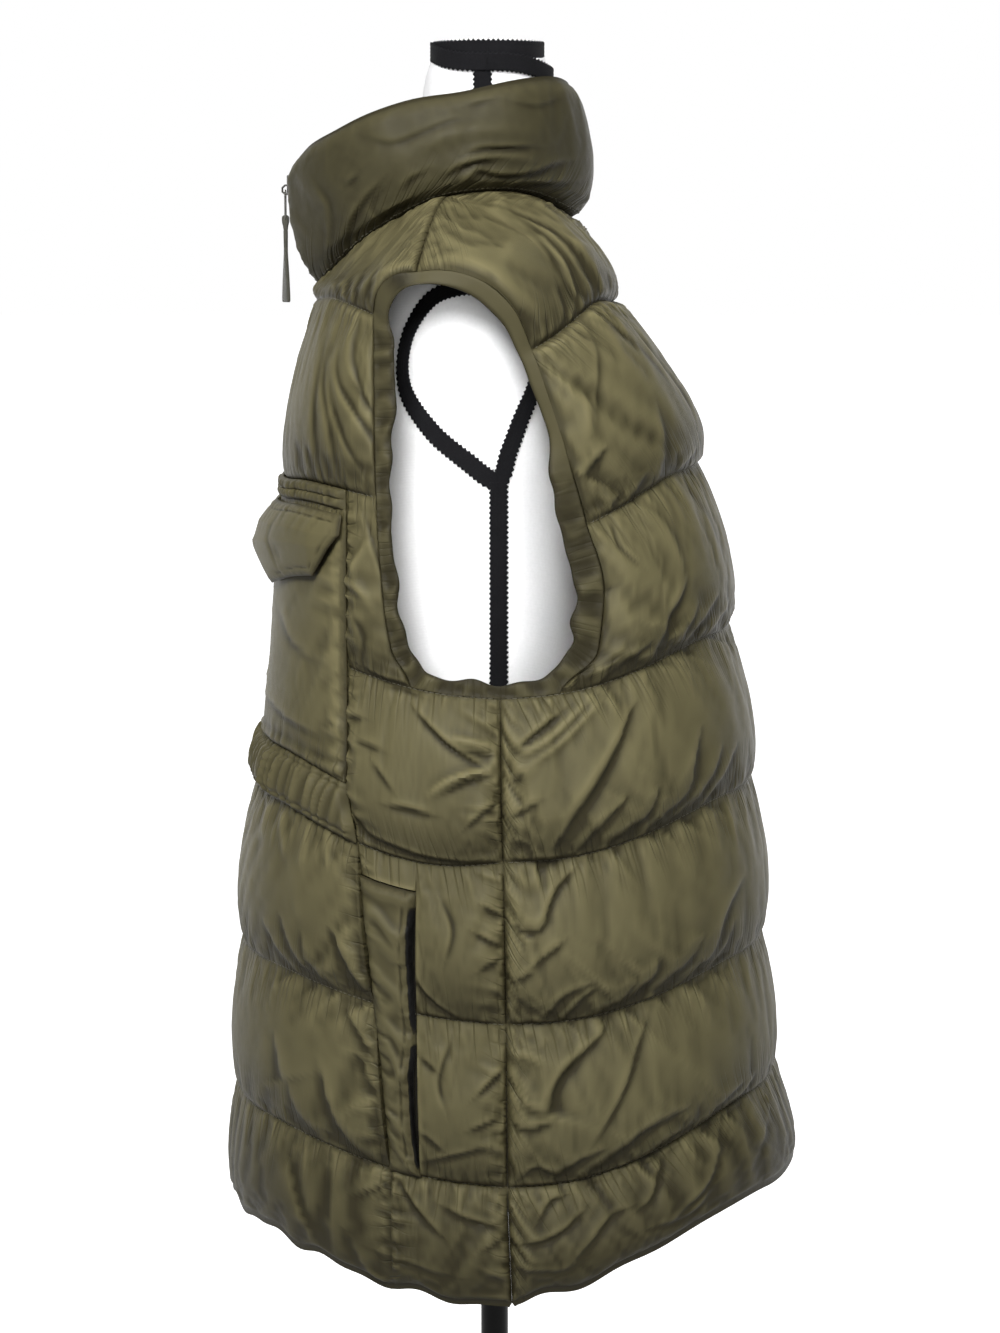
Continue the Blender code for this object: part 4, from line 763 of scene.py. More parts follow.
# %% The chalk lines
FOLDS = {
    # Each line: kind, height in mm, width in pixels of the side view, then its points from the stitches
    # outward, in the same pixels.
    "back": """
crease 1.6 3 487,200 512,210 542,227 570,252 592,280 610,307
crease 2 3.2 505,210 535,232 562,260 585,290 597,309
crease 1.8 3 530,237 555,270 572,295 587,313
crease 1.8 3 545,230 580,262 602,292 612,310
crease 1.5 2.6 556,258 572,290 577,318
crease 1.3 2.6 552,287 562,310 565,327
crease 1 2.6 516,327 521,316
crease 0.9 3 585,322 590,355 591,395 590,430
crease 1.3 2.6 597,316 620,335 640,360 660,387 682,418
crease 1.1 2.6 610,315 630,332 655,360 675,395 687,428
fold 1.6 3.4 660,477 657,440 645,402
fold 1.4 3 683,468 692,446
fold 2.8 3.6 585,478 592,462 603,444
fold 1.8 3.4 630,497 640,480 643,470
fold 1.5 3.2 612,506 622,490
ridge 1.8 5 555,372 577,402 582,420 583,440
crease 1.3 3 615,520 622,545 640,566
crease 1.1 3.2 655,500 672,540 680,580
crease 0.9 3 690,482 708,520 716,560
fold 3.4 4.4 652,664 662,622 675,595 682,575
fold 2.8 4 684,650 697,625 714,592
fold 2.2 3.4 672,654 686,622 693,600
fold 2.2 3.4 712,636 726,600
fold 2.6 4.4 600,680 622,664 648,640
crease 1.6 3 592,578 604,586 614,585
fold 3 4 574,690 580,672 592,656
fold 4.2 5.4 549,853 572,815 597,777 615,745 626,720 638,698
fold 3 4.6 577,851 602,820 620,800 624,790
fold 3.4 4.8 606,844 630,825 645,810 654,784
fold 3 4.2 645,833 665,810 683,790 690,760 698,722
fold 2.2 3.6 664,827 680,812 691,795
fold 2.8 4 683,821 697,797 710,772 718,742
fold 2.4 3.8 708,806 720,780 728,760 734,740
crease 3.4 3.8 517,747 537,731 561,712
crease 1.8 3 508,781 524,771
crease 2.2 3.4 508,816 538,799
crease 2 3 511,842 522,841 532,851 534,865
ridge 1.6 3 520,756 552,735 592,697
ridge 1.3 2.6 530,762 560,742 602,700
fold 2.8 5 534,862 556,857 580,850
crease 3.4 4.6 541,927 555,892 573,871
crease 2.4 3.8 508,923 532,930 548,920
fold 3 4.2 544,1018 562,995 592,979
fold 2.8 4.2 562,1021 586,991 596,984
fold 3.8 5 620,1006 650,972 654,952
fold 3.2 4.8 652,992 682,960 699,932
fold 3.2 4.6 684,982 710,950 722,910 741,874
fold 2.4 3.8 712,970 727,945 731,918
crease 2.2 3.6 530,966 563,939
crease 1.8 3.2 508,983 533,969
fold 2.8 4.4 596,1013 618,998 634,976
fold 4 4.8 546,1114 555,1082 575,1060 601,1036 607,1022
crease 2 2.8 590,1141 610,1110 627,1075 638,1045 651,1013
fold 2.8 4.6 550,1179 575,1160 604,1145
fold 3.4 5.4 577,1182 615,1150 650,1122 688,1104
fold 2.8 4.4 638,1164 665,1140 694,1122
fold 2.8 4.2 700,1132 722,1100 743,1080
fold 2.2 4 726,1112 748,1090 758,1070
crease 2.8 3.8 509,1122 527,1127 552,1119
ridge 2 3.4 511,1060 524,1054 544,1062
crease 2.2 3.4 520,1177 535,1167 562,1173
crease 2.4 3.4 539,1218 550,1201 564,1196
crease 3 4 512,1243 540,1240 565,1227 583,1209
crease 2.4 4 572,1259 590,1240 610,1215 628,1205
crease 2 3.4 637,1208 651,1195 666,1153
crease 2.4 3.8 672,1219 705,1185 717,1155 720,1133
crease 1.8 3.4 650,1226 690,1213 717,1183
crease 1.6 3.2 760,1152 770,1119
crease 1.8 3.4 509,1267 552,1271 578,1259
""",
    "collar": """
crease 2.6 3.6 338,256 352,222 367,197 384,178
crease 3 3.4 370,227 387,212 405,202 420,198
crease 1.8 3.2 401,189 412,177 427,169
crease 1.5 3.2 348,184 359,172
crease 3.2 3.6 445,175 460,165 475,160 492,158
crease 3.2 3.6 463,153 480,147 500,146 528,145
crease 3.4 3.8 471,166 487,172 507,174 530,170 546,162 558,160
crease 3 3.6 488,184 517,185 542,182 565,180
crease 1.8 3.2 543,197 570,200
ridge 2.4 4 458,181 473,168 480,165
ridge 1.6 5 452,168 472,156 500,153 530,157
crease 1.2 5 367,135 392,141 420,131 447,120 466,116
crease 1.2 4 466,104 496,97
crease 1.4 4.4 318,182 332,205 334,240
ridge 1.4 8 400,160 430,140 480,128 540,130
crease 1 4 510,100 535,104 560,96
crease 1.1 4 392,228 372,205 390,180
""",
    "front_yoke": """
crease 1.4 2.8 340,297 347,275
crease 1.6 2.8 350,298 361,268
crease 1.6 2.8 362,298 376,268
crease 1.4 2.8 376,298 387,276
crease 1 3 330,298 334,280
crease 1.4 3 317,482 315,420 320,375 325,338
crease 1.3 3 337,484 330,420 325,382 330,338
crease 1.5 3 360,474 345,440 335,410 332,376
crease 1.8 3 377,458 362,425 345,395 339,370 341,346
crease 1.6 3.2 375,428 357,382 352,345 357,312
crease 1.4 2.8 372,412 355,380
crease 1.2 2.8 310,478 305,442
crease 1.2 2.8 297,474 295,438
crease 1 2.8 325,480 322,450
crease 1 4 410,262 424,240 430,220
""",
    "side_front": """
crease 1.6 4.4 357,512 367,540 380,580 388,596
ridge 1.8 4 362,545 354,575 372,610
crease 1.4 3.4 352,612 362,640 358,664
crease 3.4 4.2 360,666 385,680 412,687 428,692
crease 1.6 3 382,686 398,688 419,696
crease 3.6 3.8 414,710 430,727 450,745 483,766
crease 2.8 3.6 390,803 405,806 433,813
ridge 2.4 3.4 430,793 455,778 494,768
crease 2 3 446,790 470,778 496,774
crease 2.2 3.2 466,826 485,810 503,799
crease 3.6 4.6 350,808 367,832 392,843 430,856 484,863
crease 1.8 4.4 356,738 382,748
crease 1.6 3 344,714 362,717
ridge 1.8 3.2 450,737 494,747
crease 1.6 3 458,748 500,756
crease 1.4 3.6 374,760 396,790
crease 3.2 4.2 411,976 432,1000 460,1019
crease 2 3.2 483,905 504,917
crease 2.2 3.2 476,932 504,948
crease 1.8 3 480,969 505,956
crease 3 3.6 476,1095 507,1066
crease 2.2 3.6 420,1132 444,1148
crease 2.4 3.8 423,1162 458,1153 488,1146
crease 1.8 3.2 420,1058 437,1071
crease 1.8 3.6 440,900 452,930 446,960
crease 1.6 3.6 450,1040 438,1080 446,1110
crease 2 3.4 470,1128 500,1118
""",
    "front_body": """
fold_under 2.2 3.6 292,974 272,940 264,916
fold_under 2.4 3.6 318,984 295,953 281,910
fold_under 2.4 3.6 335,994 308,957 304,930
fold_under 3 4 372,1003 352,967 331,924
fold_under 2.2 3.4 360,996 342,953 338,930
ridge 1.4 2.6 277,808 284,856
ridge 1.3 2.6 305,816 302,866
ridge 1.2 2.6 264,800 261,840
ridge 1.1 2.6 323,826 328,872
fold_under 1.6 3.4 284,1080 275,1030
fold_under 2 3.6 378,1095 365,1067 354,1050
fold_under 2 3.4 376,1060 358,1033 341,1008
fold_under 3 4.4 374,1165 345,1133 328,1093 321,1056
fold_under 2 4.4 320,1140 298,1110 290,1080
crease 2.2 3.8 314,1243 298,1200 287,1158
crease 3.2 4 397,1179 418,1210 441,1233
crease 2.8 3.6 443,1206 472,1220 507,1228
crease 2.2 4.2 347,1231 365,1267 388,1282
crease 2.2 3.2 356,1194 375,1187 394,1176
crease 1.8 4.4 373,1246 425,1268 460,1274
crease 1.6 3 484,1249 508,1235
""",
    "chest_pocket": """
crease 1 4 284,604 298,640 320,660
crease 1.2 3.4 326,722 344,724
crease 1.2 4 268,690 290,716 320,735
""",
}
for part, rows in FOLDS.items():
    rows = [row.split() for row in rows.split("\n") if row]
    FOLDS[part] = [(kind, float(tall), float(wide), *(tuple(map(float, at.split(","))) for at in line))
                   for kind, tall, wide, *line in rows]
print("chalk lines:", {part: len(rows) for part, rows in FOLDS.items()})

# %% [markdown]
# ## Planning the quilted pieces
# Every piece is planned before any cloth is run, so that all strips settle in one go. A plan holds the
# piece's grid, the height of its cloth at rest and the strips between its stitch lines.
# %% Height of the body's cloth
PLANS = {}
HEM_ROLL, SHOULDER_ROLL, ZIP_ROLL = 30.0, 12.0, 7.0


def armhole_edge(levels, columns, points):
    """1 along the armhole, where the band is sewn on, fading out within a few millimetres."""
    near = np.zeros(points.shape[:2])
    run, drop = run_across(points), run_down(points)
    for k in np.flatnonzero(np.abs(np.abs(columns) - 2) < 1e-6):
        near = np.maximum(near, np.exp(-((run - run[:, [k]]) / 5) ** 2) * (levels[:, None] <= 3))
    first = int(np.argmin(np.abs(levels - 3)))
    if abs(levels[first] - 3) < 1e-6:
        under = np.exp(-((drop - drop[[first]]) / 5) ** 2)
        near = np.maximum(near, under * (levels[:, None] >= 3) * (np.abs(columns) > 2)[None, :])
    return near


def body_height(face, seams):
    """The height of a piece of the body, as a function of its grid. `seams` are its pinched columns."""
    def height(levels, columns, points):
        lift = puffed(face, points, levels, columns, seams)
        lift += 1.0 * armhole_edge(levels, columns, points)
        below = np.clip(levels - 6, 0, 1)[:, None]
        full = STITCH_HEIGHT + (CHANNEL_FULL[face][6] * channel_shape(face, 6 + 0.8 * below)
                                * edge_fade(near_columns(points, columns, seams))
                                * centre_share(face, np.full(len(levels), 6), columns))
        drop, run = run_down(points), run_across(points)
        full = 1.0 + (full - 1.0) * (0.25 + 0.75 * rolled(drop[-1:] - drop, HEM_ROLL))
        lift = np.where(below > 0, full, lift)
        if face == "front" and abs(columns[0]) < 1e-6:
            lift = 1.0 + (lift - 1.0) * (0.35 + 0.65 * rolled(run, ZIP_ROLL))
        over = 1 - smoothstep((levels - 0.3) / 0.7)
        for k in np.flatnonzero(np.abs(np.abs(columns) - 2) < 1e-6):
            round_off = rolled(np.abs(run - run[:, [k]]), SHOULDER_ROLL)
            lift *= 1 - (0.4 * over)[:, None] * (1 - round_off)
        return lift
    return height


sample_grid = np.linspace(0, 2, 41), np.linspace(0, 2, 41)
sample = body_height("front", ())(*sample_grid, cloth_place("front", *sample_grid)[0])
print("the front yoke stands up to", round(float(sample.max()), 1), "mm off its lining")

# %% Planning a piece
STRIP_SHARE = 0.62  # columns of a strip, against those of its piece


def plan(name, face, side, row_stops, row_counts, column_stops, column_counts, strips, height,
         keep=None, lining=0.0, ease=0.35, ripple=0.6, pressure=6.0, spare=0.02):
    """Plans a piece. Each strip is given by its top and foot level and its first and last column."""
    levels = stops_with(row_stops, row_counts, ease)
    columns = side * stops_with(column_stops, column_counts)
    points, out = cloth_place(face, levels, columns)
    middle_levels, middle_columns = (levels[1:] + levels[:-1]) / 2, np.abs(columns[1:] + columns[:-1]) / 2
    kept = np.ones((len(levels) - 1, len(columns) - 1), bool)
    if keep is not None:
        kept = keep(middle_levels[:, None], middle_columns[None, :]) & kept
    PLANS[name] = {"face": face, "levels": levels, "columns": columns, "points": points,
                   "out": out, "height": height(levels, columns, points), "keep": kept,
                   "lining": lining, "run": run_across(points), "drop": run_down(points)}
    for k, (top, foot, first, last) in enumerate(strips):
        stops = [first, *(stop for stop in column_stops if first < stop < last), last]
        counts = []
        for a, b in zip(stops, stops[1:]):
            at = [i for i, (p, q) in enumerate(zip(column_stops, column_stops[1:])) if p <= a + 1e-6 < q][0]
            whole = column_stops[at + 1] - column_stops[at]
            counts.append(max(4, round(STRIP_SHARE * column_counts[at] * (b - a) / whole)))
        tall = max(10, round(16 * (foot - top))) if face != "collar" else 24
        seed = sum(ord(c) for c in name) * 7 + k
        add_strip(name, face, stops_with((top, foot), (tall,), 0.3), side * stops_with(stops, counts),
                  height, seed, ripple, pressure, spare, side)


print("a strip takes", STRIP_SHARE, "of its piece's columns")

# %% Back, collar, yokes, bodies and side fronts
def collar_height(rows, columns, points):
    """The collar is one soft roll: fullest at its back and below its middle, thin at foot and rim."""
    rows = np.asarray(rows)[:, None]
    base = STITCH_HEIGHT + 4.0 * smoothstep((rows - 0.5) / 0.5)
    shape = (1 - np.abs(2 * rows ** 0.8 - 1) ** 2.2) ** 0.75
    drop = run_down(points)
    full = 12.0 + 5.5 * (1 - smoothstep(np.abs(columns) / 1.1))[None, :]
    lift = base + (full - base) * shape * edge_fade(near_columns(points, columns, (-2, 2)), 12)
    return 1.0 + (lift - 1.0) * (0.25 + 0.75 * rolled(drop[-1:] - drop, 9.0))


plan("back", "back", 1, range(8), (50,) * 7, (-3, -2, -1, 0, 1, 2, 3), (26, 28, 56, 56, 28, 26),
     [(k, k + 1, -2, 2) for k in range(3)] + [(k, k + 1, -3, 3) for k in range(3, 7)],
     body_height("back", (-3, 3)), keep=lambda level, column: (level > 3) | (column < 2))
plan("collar", "collar", 1, (0, 1), (44,), (-2, -1, 0, 1, 2), (66, 68, 68, 66),
     [(0, 1, -2, 2)], collar_height, ease=0.0, ripple=0.15, pressure=5.0, spare=0.004)
for word, side in SIDES:
    plan(f"front_yoke_{word}", "front", side, (0, 1, 2), (40, 56), (0, 1, 2), (66, 36),
         [(0, 1, 0, 2), (1, 2, 0, 2)], body_height("front", ()))
    plan(f"front_body_{word}", "front", side, (2, 4, 5, 6, 7), (12, 50, 50, 46), (0, 1, 2, 3),
         (62, 28, 30), [(4, 5, 0, 1), (5, 6, 0, 1), (6, 7, 0, 3)], body_height("front", (side * 3.0,)),
         keep=lambda level, column: (level > 6) | (column < 1))
    plan(f"side_front_{word}", "front", side, (2, 3, 4, 5, 6), (68,) * 4, (1, 2, 3), (52, 58),
         [(2, 3, 1, 2), (3, 4, 1, 3), (4, 5, 2, 3), (5, 6, 2, 3)],
         body_height("front", (side * 1.0, side * 3.0)),
         keep=lambda level, column: (level > 3) | (column < 2))
print("planned", len(PLANS), "pieces and", len(STRIPS), "strips")

# %% [markdown]
# ## Pockets laid on the front
# The chest pocket, its flap, the gathered strips and the hand pocket's welt lie on the flat front cloth,
# each with a thin gap under it. Under them the front is flat, about as thick as cloth and lining.
# %% Laid-on pieces
FLAT_HEIGHT, LAID_ON = 3.0, 3.35
POCKET_SPAN = (2.1, 3.65)  # levels of the pocket's top and foot


def pocket_height(levels, columns, points):
    """The chest pocket bulges below its middle and stands off a little at its foot."""
    levels = np.asarray(levels)[:, None]
    top, foot = POCKET_SPAN
    f = np.clip((levels - top) / (foot - top), 0, 1) ** 1.5
    shape = (1 - np.abs(2 * f - 1) ** 2.3) ** 0.6
    lip = 2.6 * smoothstep((levels - foot + 0.1) / 0.1)
    return LAID_ON + 1.7 + lip + 5.6 * shape * edge_fade(to_ends(run_across(points)), 9)


for word, side in SIDES:
    plan(f"chest_pocket_{word}", "front", side, POCKET_SPAN, (56,), (0.125, 1), (60,),
         [(*POCKET_SPAN, 0.125, 1)], pocket_height, lining=LAID_ON, ripple=0.5, pressure=5.0, spare=0.012)
    for part, top, foot, last in (("front_body", -1, 4, 1.01), ("side_front", 4.19, 6.001, 2)):
        piece = PLANS[f"{part}_{word}"]
        level, column = piece["levels"][:, None], np.abs(piece["columns"])[None, :]
        piece["height"][(level > top) & (level < foot) & (column < last)] = FLAT_HEIGHT
settle()
print("with the chest pockets:", len(PLANS), "pieces and", len(STRIPS), "strips")

# %% [markdown]
# ## Finishing the quilted pieces
# The settled cloth is read back onto the fine grid. Its height is kept between a thin stitch line and a
# full channel, gathers and chalked folds are added, and the wall is closed. The hidden side gets the
# same lines, moved a little and weaker, since two sides of a worn vest crease alike but not the same.
# %% The hem, and the settled cloth on the grid
BODY = "vest_on_stand"
# How much of the settled cloth's crumple each piece keeps: firm and taut ones least.
SETTLED_SHARE = {"back": 0.5, "collar": 0.2, "front_yoke": 0.4, "front_body": 0.55,
                 "side_front": 0.4, "chest": 0.4}


def hem_waves(name):
    """The hem hangs in slow uneven waves. They start a little above it, and fade at the side seam."""
    piece = PLANS[name]
    x, y = piece["points"][..., 0], piece["points"][..., 1]
    columns, levels = np.abs(piece["columns"]), piece["levels"][:, None]
    along_it = y * (1 + 0.1 * np.sign(x)) + 0.7 * np.abs(x)
    wave = 1.7 * np.sin(along_it / 13.0) + 1.3 * np.sin(along_it / 7.6 + 1.0)
    seam = 1 - np.exp(-((columns - 3) / 0.25) ** 2)
    closed = 1.5 * (1 - smoothstep((3 - columns) / 0.07)) * (levels > 6.97)
    return wave * seam * smoothstep((levels - 6.55) / 0.45) - closed


def settled_cloth(name):
    """Height and sideways shift of a planned piece's outer cloth, in mm."""
    piece = PLANS[name]
    share = next(value for key, value in SETTLED_SHARE.items() if name.startswith(key))
    move = piece["out"] * piece["height"][..., None]
    for strip in STRIPS:
        if strip["owner"] != name:
            continue
        way = strip["mirror"]
        rows = np.flatnonzero((piece["levels"] >= strip["rows"][0] - 1e-9)
                              & (piece["levels"] <= strip["rows"][-1] + 1e-9))
        at = piece["columns"] * way
        knots = strip["columns"] * way
        columns = np.flatnonzero((at >= knots[0] - 1e-9) & (at <= knots[-1] + 1e-9))
        field = smooth_between(strip["rows"], strip["moved"], piece["levels"][rows])
        field = np.swapaxes(smooth_between(knots, np.swapaxes(field, 0, 1), at[columns]), 0, 1)
        spot = np.ix_(rows, columns)
        move[spot] += share * (field - move[spot])
    height = (move * piece["out"]).sum(axis=-1)
    slide = move - piece["out"] * height[..., None]
    slide *= np.minimum(1, 5.0 / np.maximum(np.linalg.norm(slide, axis=-1, keepdims=True), 1e-6))
    return height, slide


print("the hem waves by up to", round(float(np.abs(hem_waves("back")).max()), 1), "mm")

# %% Where thread runs, and the pleats beside it
def thread_lines(name):
    """Rows and columns of a piece's grid on which thread or a seam runs."""
    piece = PLANS[name]
    levels, columns = piece["levels"], np.abs(piece["columns"])
    rows = [i for i, level in enumerate(levels) if abs(level - round(level)) < 1e-6 and level < 6.5]
    if piece["face"] == "collar":
        rows = [0]
    if name.startswith("chest"):
        rows = [0, len(levels) - 1]
    seams = [0, len(columns) - 1]
    if name.startswith("front_yoke"):
        seams = [j for j in seams if abs(columns[j] - 2) > 1e-6]
    if name.startswith("front_body"):
        seams = [j for j, column in enumerate(columns) if min(abs(column - 1), abs(column - 3)) < 1e-6]
    return rows, seams


def nearness(name, reach, which="both"):
    """1 on thread and seams, fading to 0 at `reach` mm."""
    piece = PLANS[name]
    rows, seams = thread_lines(name)
    far = np.full(piece["run"].shape, 1e3)
    for i in rows if which != "seams" else ():
        far = np.minimum(far, np.abs(piece["drop"] - piece["drop"][[i]]))
    for j in seams if which != "rows" else ():
        far = np.minimum(far, np.abs(piece["run"] - piece["run"][:, [j]]))
    return np.clip(1 - far / reach, 0, 1)


def pleated(name, rng, height):
    """Gathers along every stitch line and seam of a piece."""
    piece = PLANS[name]
    rows, seams = thread_lines(name)
    run, drop = piece["run"], piece["drop"]
    field = np.zeros_like(height)
    for i in rows:
        for way, reach, tall in ((1, 42, 1.7), (-1, 26, 1.3)):
            field += gathers(rng, run, way * (drop - drop[[i]]), 6.0, reach, tall)
    for j in seams:
        for way in (1, -1):
            field += gathers(rng, drop, way * (run - run[:, [j]]), 11.0, 38, 2.3, 1.45)
            field += gathers(rng, drop, way * (run - run[:, [j]]), 6.0, 15, 2.0)
    return field


def blurred(field, passes):
    """A field in which each place takes the mean of its four neighbours, a few times over."""
    for _ in range(passes):
        padded = np.pad(field, 1, mode="edge")
        field = (padded[:-2, 1:-1] + padded[2:, 1:-1] + padded[1:-1, :-2] + padded[1:-1, 2:]) / 4
    return field


print("thread crosses the back's grid at rows", thread_lines("back")[0])

# %% Its painted own shadow, and its turned edge
EDGE_BULGE = 1.6


def painted_own_shadow(name):
    """Painted own shadow: how far cloth is darkened over each stitch line, at the collar's foot and at the hem.
    """
    piece = PLANS[name]
    levels = piece["levels"][:, None] + 0 * piece["columns"]
    if piece["face"] == "collar":
        return 0.25 * (1 - smoothstep(levels / 0.4))
    if name.startswith("chest"):
        return 0.5 * smoothstep((levels - 3.3) / 0.35)
    f = levels - np.minimum(np.floor(levels), 6)
    last = 0.56 * smoothstep(f / 0.35) + 0.38 * smoothstep((f - 0.35) / 0.65)
    return np.where(levels > 6, last, 0.78 * smoothstep((f - 0.45) / 0.55) ** 1.4)


def free_edge(name):
    """How far a turned edge bulges: only where no other piece joins it."""
    piece = PLANS[name]
    fold = np.zeros_like(piece["run"])
    if piece["face"] == "collar":
        fold[-1] = EDGE_BULGE
        fold[:, [0, -1]] = 0.5 * EDGE_BULGE
    elif piece["levels"][-1] > 6.9:
        fold[-1, 1:-1] = 2.5 * EDGE_BULGE
    if name.startswith("chest"):
        fold[:] = 0.8
    return fold


print("the back's deepest own shadow:", round(float(painted_own_shadow("back").max()), 2))

# %% A finished piece
# The chalk lines' strength on each side, and how far they are moved, in pixels of the side view.
CHALKED = ((1, 1.5, (0.0, 0.0)), (-1, 1.1, (9.0, -6.0)))
# A seam value over 1 paints an opening's shadow near-black.
SLIT_SHADOW_VALUE = 2.6  # a seam value over 1 is read as a dark opening


def chalked(name, soft):
    """Height of the chalked folds on both sides of a piece, and the painted shade in them."""
    piece = PLANS[name]
    lines = FOLDS.get(name.replace("_left", "").replace("_right", ""), ())
    added, depth = np.zeros(soft.size), np.zeros(soft.size)
    for side, strength, shift in CHALKED:
        flip = np.array([side, 1, 1])
        points, out = piece["points"] * flip, piece["out"] * flip
        seen = ((points[..., 0] > 0) & (out[..., 0] > -0.15) & soft).ravel()
        shown = side_view(points + out * 8).reshape(-1, 2) + shift
        added[seen], depth[seen] = drawn_folds(lines, shown[seen], strength)
    return added.reshape(soft.shape), depth.reshape(soft.shape)


def dressed_wall(name, material):
    """Lays pleats and chalked folds over a planned piece's settled cloth, paints shade into its hollows and a
    highlight onto its ridges, and closes its wall.
    """
    piece = PLANS[name]
    height, slide = settled_cloth(name)
    rest, lining, keep = piece["height"], piece["lining"], piece["keep"]
    rng = np.random.default_rng(sum(ord(c) for c in name))
    border = np.logical_or.reduce(edge_sides(keep))
    soft = np.abs(rest - FLAT_HEIGHT) > 1e-6
    height = height + pleated(name, rng, height) * soft * np.clip((rest - lining - 1.5) / 3.5, 0.3, 1)
    added, depth = chalked(name, soft)
    height = height + added * np.clip(1 - nearness(name, 5.0), 0.15, 1)
    height = np.clip(height, lining + 1.0, rest * 1.1 + 2.6)
    height[border] = rest[border]
    slide[border] = 0
    # Painted shading: shade in hollows and a highlight on ridges, plus the folds' painted shade and the painted
    # own shadow.
    painted_shading = np.clip((blurred(height, 6) - height) / 0.95, -1, 1) * soft
    drawn = 0.5 if name == "collar" else 0.95
    painted_shading = np.clip(0.75 * painted_shading + drawn * depth + painted_own_shadow(name), -0.7, 1)
    # Seam value: painted shade beside thread, and a near-black painted shadow under the hand pocket's welt.
    # Pull and tug mark fine lines, which get painted shade and a bump.
    under_welt_shadow = ~soft & ~border & name.startswith("side_front")
    values = {"seam": np.where(under_welt_shadow, SLIT_SHADOW_VALUE, nearness(name, 3.2) ** 1.3),
              "pull": nearness(name, 42.0, "rows"),
              "tug": nearness(name, 26.0, "seams") * (not name.startswith("chest")),
              "painted_shading": painted_shading}
    wave = hem_waves(name)[..., None] * np.array([0, 0, 1.0])
    inner = piece["points"] + piece["out"] * lining + wave
    piece["outer"] = piece["points"] + piece["out"] * height[..., None] + slide + wave
    obj = sewn_wall(name + "_cloth", piece["outer"], inner, keep, piece["run"], piece["drop"],
                    free_edge(name), values)
    finish_soft(obj, name, material)


def finish_soft(obj, node, material):
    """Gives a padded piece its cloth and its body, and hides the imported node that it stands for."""
    obj.data.materials.append(material)
    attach(obj, BODY)
    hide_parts(node)
    print(obj.name, len(obj.data.polygons), "faces")


print("chalked sides:", len(CHALKED))

# %% [markdown]
# ## Nylon
# The shell is a light, tightly woven nylon with a soft sheen. Its threads are far finer than its folds,
# so they are a faint bump on the cloth's own UV map. Slow noise varies the colour a little, as dye and
# handling do. Four values on each point say what the cloth does there: next to thread it has painted
# shade and more wrinkles, fine lines with painted shade run out from it, hollows get painted shade
# and ridges a painted highlight.
# %% Materials and their nodes
def new_material(name, colour, roughness, metallic=0.0):
    """A material, its node tree and its shader."""
    material = bpy.data.materials.new(name)
    material.use_nodes = True
    shader = material.node_tree.nodes["Principled BSDF"]
    shader.inputs["Base Color"].default_value = (*colour, 1)
    shader.inputs["Roughness"].default_value = roughness
    shader.inputs["Metallic"].default_value = metallic
    material.diffuse_color = (*colour, 1)
    return material, material.node_tree, shader


def node(tree, kind, inputs=None, **settings):
    """A shader node. Each input is a number, or the socket that is linked to it."""
    made = tree.nodes.new("ShaderNode" + kind)
    for key, value in settings.items():
        setattr(made, key, value)
    for key, value in (inputs or {}).items():
        if isinstance(value, bpy.types.NodeSocket):
            tree.links.new(value, made.inputs[key])
        else:
            made.inputs[key].default_value = value
    return made


def maths(tree, operation, a, b=0.0, c=0.0):
    """The socket of one sum on numbers or sockets."""
    return node(tree, "Math", {0: a, 1: b, 2: c}, operation=operation).outputs[0]


def colour_mix(tree, share, a, b):
    """The socket of a colour between a and b."""
    return node(tree, "Mix", {0: share, 6: a, 7: b}, data_type="RGBA").outputs[2]


print("materials before the first:", len(bpy.data.materials))

# %% The nylon
NYLON = (0.112, 0.098, 0.046)
NYLON_DEEP = (0.084, 0.074, 0.035)
NYLON_PAINTED_SHADE = (0.086, 0.07, 0.028)
NYLON_LIGHT = (0.134, 0.118, 0.057)


def drawn_lines(tree, uv, across, along_it, narrow=0.05):
    """Thin uneven lines on the cloth: 1 in the middle of a line, 0 away from it."""
    spread = node(tree, "Mapping", {"Vector": uv, "Scale": (across, along_it, 1.0)})
    noise = node(tree, "TexNoise", {"Vector": spread.outputs[0], "Scale": 1.0, "Detail": 1.0,
                                    "Roughness": 0.4})
    off = maths(tree, "ABSOLUTE", maths(tree, "SUBTRACT", noise.outputs[0], 0.5))
    off = maths(tree, "MINIMUM", maths(tree, "DIVIDE", off, narrow), 1.0)
    return maths(tree, "SUBTRACT", 1.0, off)


